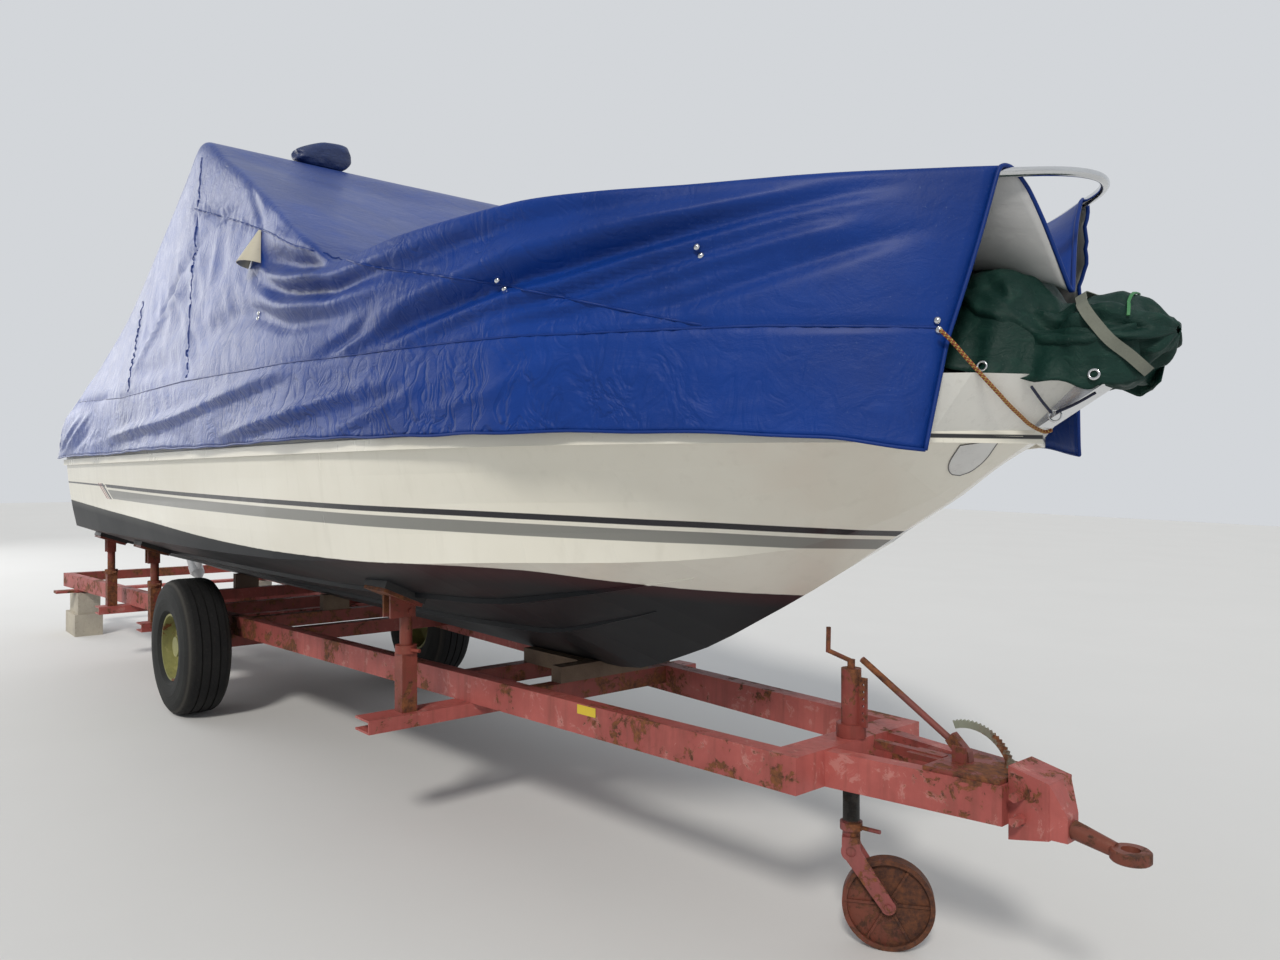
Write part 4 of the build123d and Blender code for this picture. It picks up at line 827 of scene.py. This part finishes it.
def makeCover():
    look = coverLook
    port, starboard = look["portColumns"], look["starboardColumns"]
    signed = np.concatenate([-np.linspace(0, 1, port + 1)[:0:-1], np.linspace(0, 1, starboard + 1)])
    share = np.abs(signed)[None]
    front = np.interp(share, *zip(*look["front"]))
    x = coverStern + (front - coverStern) * np.linspace(0, 1, look["stations"])[:, None]
    y, z = coverPlain(x, share + 0 * x)
    y = y * -np.sign(signed)[None]
    # round the corners of each section
    for _ in range(look["roundings"]):
        evenOut(y.T)
        evenOut(z.T)
    points = np.stack([x, y, z], -1)
    normal = unit(np.cross(np.gradient(points, axis=1), np.gradient(points, axis=0)))
    normal *= np.sign((normal * np.stack([0 * x, y, np.full_like(z, 0.3)], -1)).sum(-1))[..., None]
    side = np.clip((share - crestMark) / 0.10, 0, 1)
    push = np.where(signed[None] > 0, foldPush(x, z, 0.0, 1.0), foldPush(x, z, *look["portFolds"])) * side
    # the top: long pulls from the hoop's ends to the bow, and sag ripples behind the hoop
    pullHigh, sagHigh, rippleHigh = look["top"]
    pull = np.sin(y * 16 + x * 1.1) * np.clip((x - 1.2) / 2.0, 0, 1) * pullHigh
    sag = np.sin(y * 10 + 2.5 * np.sin(x * 1.7)) * np.clip((0.4 - x) / 1.2, 0, 1) * sagHigh
    belowHoop = np.clip(look["hoopTop"] - z, 0, 0.1) * 10
    push += (1 - side) * (pull + sag + rippleHigh * ripples(x, y, 12, 10, 0.5, 1.6)) * belowHoop
    # nothing moves inward where rail, hoop or deck's edge lies close behind
    near = np.clip((share - 0.33) / 0.03, 0, 1) * np.clip((0.50 - share) / 0.05, 0, 1)
    push = push * (1 - np.where(push < 0, 0.75, 0.7) * near)
    push = np.maximum(push, np.where(share > 0.80, -0.005, -0.05))
    points = points + normal * push[..., None]
    # the hem swings in and out a little
    low = np.clip((share - 0.86) / 0.14, 0, 1)
    long, short = look["hemSwing"]
    wave = long * np.sin(x * 5.2) + short * np.sin(x * 13 + 1)
    points[..., 1] -= np.sign(signed)[None] * np.maximum(wave, -0.002) * low
    long, short = look["hemDip"]
    points[..., 2] += low * (long * np.sin(x * 3.1) + short * np.sin(x * 17))
    # the stern curtain drops from the last section to its foot
    t = np.linspace(0, 1, look["curtainRows"] + 1)[:-1, None]
    x, y, z = np.moveaxis(points[0], -1, 0)
    foot = look["curtainFoot"]
    curtain = np.stack([x - look["curtainWave"] * np.sin(signed * 34) * (1 - t), y + 0 * t,
                        foot + (z - foot) * t], -1)
    return curtain, points, signed


coverCurtain, coverBody, coverSigned = makeCover()


def onCover(x, z, side=-1, lift=0.0):
    # level points of the cover's side at given x and z, from the nearest grid point's own slopes
    part = coverBody[:, coverSigned * -side > 0.34]
    rows, cols = part.shape[:2]
    found = []
    for px, pz in zip(np.atleast_1d(x), np.atleast_1d(z)):
        off = np.hypot(part[..., 0] - px, part[..., 2] - pz)
        i, j = np.unravel_index(off.argmin(), off.shape)
        i, j = np.clip(i, 1, rows - 2), np.clip(j, 1, cols - 2)
        here = part[i, j]
        du = (part[i + 1, j] - part[i - 1, j]) / 2
        dv = (part[i, j + 1] - part[i, j - 1]) / 2
        slopes = np.array([[du[0], dv[0]], [du[2], dv[2]]])
        u, v = np.clip(np.linalg.lstsq(slopes, [px - here[0], pz - here[2]], rcond=None)[0], -1.5, 1.5)
        normal = unit(np.cross(du, dv))
        normal *= np.sign(normal[1] * side) or 1.0
        found.append(here + du * u + dv * v + normal * lift)
    return np.array(found)


def addCover():
    grid = np.concatenate([coverCurtain, coverBody])
    made = addGrid("cover_cloth", parkAll(grid), "blue tarpaulin")
    # slots: outside, lining, and the unlined band below the fold with its inner side and rims
    for finish in ("tarpaulin lining", "blue tarpaulin", "blue tarpaulin", "blue tarpaulin"):
        made.data.materials.append(finishes[finish])
    columnShare = (np.abs(coverSigned)[:-1] + np.abs(coverSigned)[1:]) / 2
    banded = np.tile(np.where(columnShare > foldMark, 2, 0), len(grid) - 1)
    made.data.polygons.foreach_set("material_index", banded.astype(np.int32))
    thickness = thicken(made, coverLook["thick"])
    thickness.material_offset = 1
    thickness.material_offset_rim = 2
    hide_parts("cover")
    onBoat(made)


addCover()

# Cover trims: raised seams, rolled edges and pairs of snap studs.
trimLook = {"seamWide": 0.009, "seamHigh": 0.0044, "seamPoints": 340, "edge": 0.0055, "snap": 0.011,
            "apart": 0.026, "domeFlat": 0.7}


def addSeam(path, side):
    # flat strip that follows the cover, a little proud of it
    run = runAlong(np.array(path))
    even = np.linspace(0, run[-1], trimLook["seamPoints"])
    middle = onCover(*(np.interp(even, run, column) for column in zip(*path)), side)
    evenOut(middle)
    ring = tubePoints(middle, 1.0, 8) - middle[:, None]
    out = unit(np.array([0.0, float(side), 0.35]))
    lift = (ring @ out)[..., None] * out
    points = middle[:, None] + (ring - lift) * trimLook["seamWide"] / 2 + lift * trimLook["seamHigh"]
    return addGrid("seam", parkAll(points), "tarpaulin seams", False, True)


def addDome(at, side):
    # snap stud: half ball with a flat rim, facing outward
    u = np.linspace(0, np.pi / 2, 7)[:, None, None]
    v = circle(14)[None, :, None]
    out = unit(np.array([0.12, float(side), 0.12]))
    first, second = facing(out)
    ball = np.sin(u) * (np.cos(v) * first + np.sin(v) * second) + trimLook["domeFlat"] * np.cos(u) * out
    return addGrid("snap", parkAll(at + trimLook["snap"] * ball), "polished steel", False, True)


def addTrims():
    paths = (coverLook["foldSeam"], coverLook["upperSeam"], *coverLook["uprightSeams"])
    seams = [addSeam(path, side) for side in (-1, 1) for path in paths]
    for row in (coverBody[:, -1], coverBody[:, 0]):
        seams.append(addTube("hem", parkAll(row), trimLook["edge"], "tarpaulin seams", 6))
    seams.append(addTube("front_hem", parkAll(coverBody[-1]), trimLook["edge"] * 1.2, "tarpaulin seams", 6))
    onBoat(joinAll("cover_seams", seams))
    domes = []
    for x, z in coverLook["snaps"]:
        for side in (-1, 1):
            for way in (-0.5, 0.5):
                at = onCover(x - 0.004 * way, z + trimLook["apart"] * way, side, 0.002)[0]
                domes.append(addDome(at, side))
    onBoat(joinAll("cover_snaps", domes))


addTrims()
print("cover trims made")

# Green cover over the anchor gear: a gathered bag with a loose skirt, tied and strapped.
bowLook = {
    # x, half width, low z, high z
    "rows": ((4.830, 0.148, 1.812, 2.080), (4.990, 0.200, 1.795, 2.106), (5.105, 0.215, 1.772, 2.072),
             (5.185, 0.168, 1.768, 1.966), (5.225, 0.160, 1.765, 1.952), (5.300, 0.188, 1.728, 1.984),
             (5.370, 0.170, 1.716, 1.980), (5.425, 0.120, 1.780, 1.938), (5.470, 0.080, 1.806, 1.912),
             (5.492, 0.020, 1.850, 1.882)),
    # folds on the starboard side, each as points (x, z)
    "folds": (((4.90, 2.06), (5.05, 1.95), (5.22, 1.88)), ((4.92, 1.98), (5.08, 1.90), (5.24, 1.86)),
              ((4.95, 1.90), (5.10, 1.85), (5.28, 1.84)), ((5.02, 2.09), (5.13, 2.00), (5.22, 1.93)),
              ((5.24, 1.88), (5.34, 1.92), (5.44, 1.93)), ((5.24, 1.84), (5.34, 1.84), (5.46, 1.86)),
              ((5.23, 1.80), (5.30, 1.77), (5.38, 1.75)), ((5.00, 1.85), (5.12, 1.80), (5.26, 1.79))),
    # lower edge of the skirt on a side: x, half width at the edge, edge z
    "skirt": ((4.88, 0.30, 1.842), (5.00, 0.282, 1.792), (5.09, 0.258, 1.752), (5.17, 0.215, 1.748),
              (5.25, 0.190, 1.735), (5.33, 0.165, 1.716), (5.39, 0.120, 1.722), (5.43, 0.060, 1.745)),
    "eyelets": (5.085, 5.345), "neck": 5.205, "tip": 5.43, "skirtEnds": (4.88, 5.43), "thick": 0.003,
    # heights of two gathers round the bag and of its crumple
    "gathers": (0.010, 0.006), "crumple": 0.008,
    # height and half width of each fold, and of the valley this far below it
    "foldSize": (0.020, 0.018), "valleySize": (0.016, 0.016), "valleyBelow": 0.028,
    "skirtWaves": (0.010, 0.006), "cutWide": 1.25, "cutSpare": 1.2,
}


def addBowCover():
    look = bowLook
    x = np.linspace(look["rows"][0][0], look["rows"][-1][0], 74)[:, None]
    turn = circle(96)[None]
    half, low, high = np.moveaxis(easedRows(look["rows"], x + 0 * turn), -1, 0)
    middle, tall = (low + high) / 2, (high - low) / 2
    y = half * np.cos(turn)
    z = middle + tall * np.sin(turn)
    points = np.stack([x + 0 * turn, y, z], -1)
    out = unit(np.stack([0 * y, y / half ** 2, (z - middle) / tall ** 2], -1))
    neck, tip = (np.exp(-((x - look[key]) / 0.05) ** 2) for key in ("neck", "tip"))
    wide, narrow = look["gathers"]
    push = wide * np.sin(turn * 7 + x * 26) + narrow * np.sin(turn * 11 - x * 40)
    push = push * (0.5 + neck + 0.8 * tip) - 0.006
    push += look["crumple"] * (0.4 - np.abs(ripples(x * 3 + 0 * turn, np.sin(turn) + x, 21, 10, 0.8, 2.6)))
    (rise, wide), (sink, narrow) = look["foldSize"], look["valleySize"]
    for path in look["folds"]:
        # a fold with a valley under it
        off, share = pathField(points[..., 0], z, path)
        taper = np.sin(np.pi * np.clip(share, 0.03, 0.97)) ** 0.6
        valley = pathField(points[..., 0], z + look["valleyBelow"], path)[0]
        fold = rise * np.exp(-(off / wide) ** 2) - sink * np.exp(-(valley / narrow) ** 2)
        push += np.where(y < 0.05, taper * fold, 0)
    points = points + out * push[..., None] * np.clip(half / 0.05, 0, 1)[..., None]
    pieces = [addGrid("bow_cover_cloth", parkAll(points), "green tarpaulin", False, True)]
    area = gridArea(points)
    # the skirt: from the bag's flank to a loose wavy edge, on both sides
    run = np.linspace(*look["skirtEnds"], 46)[:, None]
    drop = np.linspace(0, 1, 16)[None]
    edgeHalf, edgeZ = np.moveaxis(easedRows(look["skirt"], run + 0 * drop), -1, 0)
    bagHalf, bagLow, bagHigh = np.moveaxis(easedRows(look["rows"], run + 0 * drop), -1, 0)
    topHalf, topZ = bagHalf * 0.97, (bagLow + bagHigh) / 2 + 0.02
    long, short = look["skirtWaves"]
    for side in (-1, 1):
        wave = long * np.sin(run * 46 + side) + short * np.sin(run * 88)
        yy = topHalf + (edgeHalf - topHalf) * drop ** 1.2 + wave * drop
        zz = topZ + (edgeZ - topZ) * drop + 0.005 * np.sin(run * 60) * drop
        grid = np.stack([run + 0.01 * np.sin(run * 30) * drop, side * yy, zz], -1)
        pieces.append(addGrid("skirt", parkAll(grid if side > 0 else grid[::-1]), "green tarpaulin"))
        area += gridArea(grid)
    made = joinAll("bow_cover_cloth", pieces)
    thicken(made, look["thick"])
    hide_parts("bow_cover")
    onBoat(made)


bowRigging = {
    "rope": ((5.060, -0.430, 1.872), (5.079, -0.400, 1.840), (5.098, -0.365, 1.800), (5.120, -0.315, 1.750),
             (5.130, -0.262, 1.713), (5.134, -0.205, 1.680), (5.136, -0.140, 1.650), (5.136, -0.090, 1.630),
             (5.146, -0.030, 1.612), (5.166, -0.022, 1.616)),
    "ropeRadius": 0.0055, "lanyardRadius": 0.004, "bagMiddle": (5.33, 0.0, 1.86),
    "strap": ((5.245, 0.11, 1.975), (5.260, 0.0, 2.005), (5.285, -0.095, 1.968), (5.335, -0.162, 1.905),
              (5.385, -0.168, 1.838), (5.425, -0.125, 1.790), (5.43, -0.05, 1.765)),
    "tie": ((5.392, 0.02, 1.990), (5.400, -0.05, 1.975), (5.412, -0.105, 1.945), (5.422, -0.135, 1.905)),
    "lanyards": (((5.190, -0.190, 1.727), (5.186, -0.120, 1.690), (5.182, -0.060, 1.664)),
                 ((5.195, -0.055, 1.664), (5.245, -0.052, 1.684), (5.300, -0.050, 1.712))),
    # a ring's size: the radius of its wire's middle line, and the wire's own radius
    "ring": (5.188, -0.050, 1.655), "ringSize": (0.016, 0.0032), "eyeletSize": (0.0125, 0.0040),
    "eyeletRise": 0.034,
    # width and thickness of the webbing and of the tie
    "strapSize": (0.030, 0.003), "tieSize": (0.008, 0.004),
}


def addCord(name, points, radius, material):
    # cord through the given level points
    path = curvePoints(points, max(24, 8 * len(points)))
    onBoat(addTube(name, parkAll(path), radius, material))


def addRing(at, size, out):
    # torus square to the outward direction
    major, minor = size
    u = circle(28)[:, None, None]
    v = circle(9)[None, :, None]
    out = unit(np.array(out, float))
    first, second = facing(out)
    spoke = np.cos(u) * first + np.sin(u) * second
    points = np.array(at) + spoke * (major + minor * np.cos(v)) + out * minor * np.sin(v)
    return addGrid("ring", parkAll(points), "polished steel", True, True)


def addStrap(name, points, wide, thick, material):
    # flat webbing along the level points, laid on the bag with its face turned outward
    # the rays start this far out and run this deep, and the web lies this much off the bag
    reach, depth, lift = 0.15, 0.22, 0.0015
    path = parkAll(curvePoints(points, 90))
    step = unit(np.gradient(path, axis=0))
    out = path - park(*bowRigging["bagMiddle"])
    out = unit(out - step * (out * step).sum(1)[:, None])
    across = np.cross(step, out)
    tree = searchTree(bpy.data.objects["bow_cover_cloth"].data)
    rise = np.zeros(len(path))
    for k in range(len(path)):
        for share in (-0.5, 0.0, 0.5):
            start = path[k] + across[k] * wide * share + out[k] * reach
            hit = tree.ray_cast(Vector(start), Vector(-out[k]), depth)
            if hit[0] is not None:
                rise[k] = max(rise[k] if share > -0.5 else -9.0, reach - hit[3])
    held = np.array([rise[max(k - 4, 0):k + 5].max() for k in range(len(rise))])
    for _ in range(6):
        evenOut(held)
    path = path + out * (held + lift)[:, None]
    corners = [(-0.5, 0.0), (-0.5, 1.0), (0.5, 1.0), (0.5, 0.0)]
    ring = np.stack([path + across * wide * a + out * thick * b for a, b in corners], 1)
    onBoat(addGrid(name, ring, material, False, True, False))


def addBowRings():
    # the stem's ring, and eyelets seated on the skirt
    rings = [addRing(bowRigging["ring"], bowRigging["ringSize"], (0.5, -1, 0.1))]
    tree = searchTree(bpy.data.objects["bow_cover_cloth"].data)
    for x in bowLook["eyelets"]:
        z = float(easedRows(bowLook["skirt"], np.array(x))[1]) + bowRigging["eyeletRise"]
        y = tree.ray_cast(Vector(park(x, -0.9, z)), Vector((0.0, 1.0, 0.0)))[0].y
        rings.append(addRing((x, y - 0.007, z), bowRigging["eyeletSize"], (0.25, -1, 0.15)))
    onBoat(joinAll("bow_rings", rings))


addBowCover()
addCord("bow_lashing", bowRigging["rope"], bowRigging["ropeRadius"], "orange lashing")
addStrap("bow_strap", bowRigging["strap"], *bowRigging["strapSize"], "grey strap")
addStrap("bow_tie", bowRigging["tie"], *bowRigging["tieSize"], "green tie")
for number, points in enumerate(bowRigging["lanyards"]):
    addCord("bow_lanyard_%d" % number, points, bowRigging["lanyardRadius"], "navy cord")
addBowRings()
print("bow cover and its ties made")

# Lamp bag: a crumpled navy bag round the light on the hoop. Rows are rise, half width and half length.
bagLook = {
    "rows": ((0.000, 0.118, 0.046), (0.020, 0.150, 0.058), (0.060, 0.176, 0.070), (0.100, 0.172, 0.069),
             (0.134, 0.162, 0.063), (0.149, 0.128, 0.046), (0.151, 0.002, 0.001)),
    "middle": (0.790, -0.320, 3.3555), "thick": 0.002, "crumple": 0.10, "pleats": 0.05,
    # the part by which it stands taller at its port end and lower at its starboard end
    "tilt": (0.13, -0.45), "cutWide": 0.9, "cutSpare": 1.3,
}


def addLampBag():
    rows, middle = bagLook["rows"], bagLook["middle"]
    rise = np.linspace(0, rows[-1][0], 34)[:, None]
    turn = circle(72)[None]
    halfY, halfX = np.moveaxis(easedRows(rows, rise + 0 * turn), -1, 0)
    square = (np.abs(np.cos(turn)) ** 3 + np.abs(np.sin(turn)) ** 3) ** (-1 / 3.0)
    crumple = 1 + bagLook["crumple"] * (0.40 - np.abs(ripples(turn + 0 * rise, rise * 14, 31, 9, 0.22, 0.7)))
    crumple = crumple - bagLook["pleats"] * np.abs(np.sin(turn * 5 + rise * 30)) * np.exp(-(rise / 0.03) ** 2)
    across = halfY * np.sin(turn) * square * crumple
    toPort, toStarboard = bagLook["tilt"]
    share = np.clip(across / 0.17, -1.0, 1.0)
    tall = 1 + np.where(share > 0, toPort * share, toStarboard * np.abs(share) ** 1.2)
    points = np.stack([halfX * np.cos(turn) * square * crumple, across, rise * tall], -1) + middle
    made = addGrid("lamp_bag_cloth", parkAll(points), "navy bag", False, True)
    thicken(made, bagLook["thick"])
    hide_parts("lamp_bag")
    onBoat(made)


addLampBag()
print("lamp bag made")

# Blank patches: a shield on the bow and a tag on the near beam.
patchLook = {
    "shieldTop": ((4.984, -0.203, 1.574), (5.058, -0.113, 1.589)), "shieldFoot": (4.915, -0.085, 1.485),
    # share of the shield's height that has full width
    "waist": 0.4,
    "tag": ((3.459, -0.410, 0.560), (3.566, -0.405, 0.596)), "lift": 0.0018, "rim": 0.0016,
}


def seatedOn(node, points):
    # points moved onto the node's surface and lifted off it a little
    tree = searchTree(nodes[node].data)
    moved = []
    for point in points.reshape(-1, 3):
        place, normal = tree.find_nearest(Vector(point))[:2]
        moved.append(place + normal * patchLook["lift"])
    return np.array(moved).reshape(points.shape)


def addPatches():
    left, right = (np.array(corner) for corner in patchLook["shieldTop"])
    foot, top = np.array(patchLook["shieldFoot"]), (left + right) / 2
    b = np.linspace(0, 1, 18)[:, None]
    a = np.linspace(-1, 1, 16)[None]
    # full width down to the waist, then an ellipse to the foot
    waist = patchLook["waist"]
    wide = np.sqrt(np.clip(1 - (np.clip(b - waist, 0, 1) / (1 - waist)) ** 2, 0, 1))
    grid = top + (a * wide)[..., None] * (right - left) / 2 + b[..., None] * (foot - top)
    grid = seatedOn("hull", parkAll(grid))
    rim = np.concatenate([grid[0], grid[1:-1, -1], grid[-1:, 8], grid[1:-1, 0][::-1]])
    pieces = [addGrid("bow_shield", grid, "blank white patch"),
              addTube("bow_shield_rim", rim, patchLook["rim"], "patch border", 6, True)]
    onBoat(joinAll("bow_shield", pieces))
    (x0, y0, z0), (x1, y1, z1) = patchLook["tag"]
    xs, zs = np.meshgrid(np.linspace(x0, x1, 8), np.linspace(z0, z1, 5), indexing="ij")
    ys = y0 + (y1 - y0) * (xs - x0) / (x1 - x0)
    onBoat(addGrid("beam_tag", seatedOn("starboard_beam", park(xs, ys, zs)), "blank yellow tag"))


addPatches()
print("patches made")

# Floor, light and camera.
floorLook = {"size": 60.0, "base": (0.70, 0.70, 0.69), "shade": (0.66, 0.66, 0.65)}
lightLook = {
    "sky": (0.93, 0.96, 1.0), "skyStrength": 0.70, "skyBeside": 0.62, "sun": 1.8, "sunAngle": 10.0,
    "sunColour": (1.0, 0.96, 0.90), "sunFrom": (0.45, -0.62, 0.64), "glow": 430.0, "glowSize": (9.0, 6.0),
    "glowAt": (-12.0, -5.5, 5.0), "glowToward": (0.0, -1.0, 2.0),
}
cameraLook = {"at": (6.4515, -2.70, 1.48), "azimuth": 41.15, "lens": 27.03, "shift": -2 / 1280,
              "sensorWide": 36.0, "farEnd": 200.0}


def addFloor():
    made, place = newFinish("pale floor")
    colour = place.noise(0.8, 4.0, 0.6).mix(floorLook["base"], floorLook["shade"])
    dress(made, {"Base Color": colour, "Roughness": 0.85, "Specular IOR Level": 0.2})
    half, low = floorLook["size"] / 2, startBounds[0][2]
    corners = [(half * x, half * y, low) for x, y in ((-1, -1), (1, -1), (1, 1), (-1, 1))]
    addMesh("floor", corners, [(0, 1, 2, 3)], "pale floor", False)


def addSky():
    # the sky is dimmer on the starboard side, so the near side keeps its colour
    world = bpy.data.worlds.new("pale sky")
    bpy.context.scene.world = world
    world.use_nodes = True
    background = world.node_tree.nodes["Background"]
    y = addNode(world.node_tree, "TexCoord", "Generated", {}).split()[1]
    plug(background.inputs[0], lightLook["sky"])
    plug(background.inputs[1], y.ramp(-0.75, 0.05, lightLook["skyBeside"], 1.0) * lightLook["skyStrength"])


def addLamps():
    sunData = bpy.data.lights.new("sun", "SUN")
    sunData.energy = lightLook["sun"]
    sunData.angle = math.radians(lightLook["sunAngle"])
    sunData.color = lightLook["sunColour"]
    sun = addObject("sun", sunData)
    sun.rotation_euler = Vector(lightLook["sunFrom"]).to_track_quat("Z", "Y").to_euler()
    glowData = bpy.data.lights.new("bright sky astern", "AREA")
    glowData.shape = "RECTANGLE"
    glowData.size, glowData.size_y = lightLook["glowSize"]
    glowData.energy = lightLook["glow"]
    glow = addObject("bright_sky_astern", glowData)
    glow.location = lightLook["glowAt"]
    away = Vector(lightLook["glowAt"]) - Vector(lightLook["glowToward"])
    glow.rotation_euler = away.to_track_quat("Z", "Y").to_euler()


def addCamera():
    # the camera stands level on the sloping yard, so it is turned with the park's pitch
    heading = math.radians(cameraLook["azimuth"])
    backward = parkVector(math.cos(heading), -math.sin(heading), 0.0)
    rightward = parkVector(math.sin(heading), math.cos(heading), 0.0)
    turn = Matrix((rightward, parkVector(0.0, 0.0, 1.0), backward)).transposed()
    data = bpy.data.cameras.new("camera")
    data.sensor_width = cameraLook["sensorWide"]
    data.lens = cameraLook["lens"]
    data.shift_y = cameraLook["shift"]
    data.clip_end = cameraLook["farEnd"]
    camera = addObject("camera", data)
    camera.matrix_world = Matrix.Translation(Vector(park(*cameraLook["at"]))) @ turn.to_4x4()
    bpy.context.scene.camera = camera


addFloor()
addSky()
addLamps()
addCamera()
bpy.context.scene.view_settings.view_transform = "Standard"
print("floor, light and camera made")
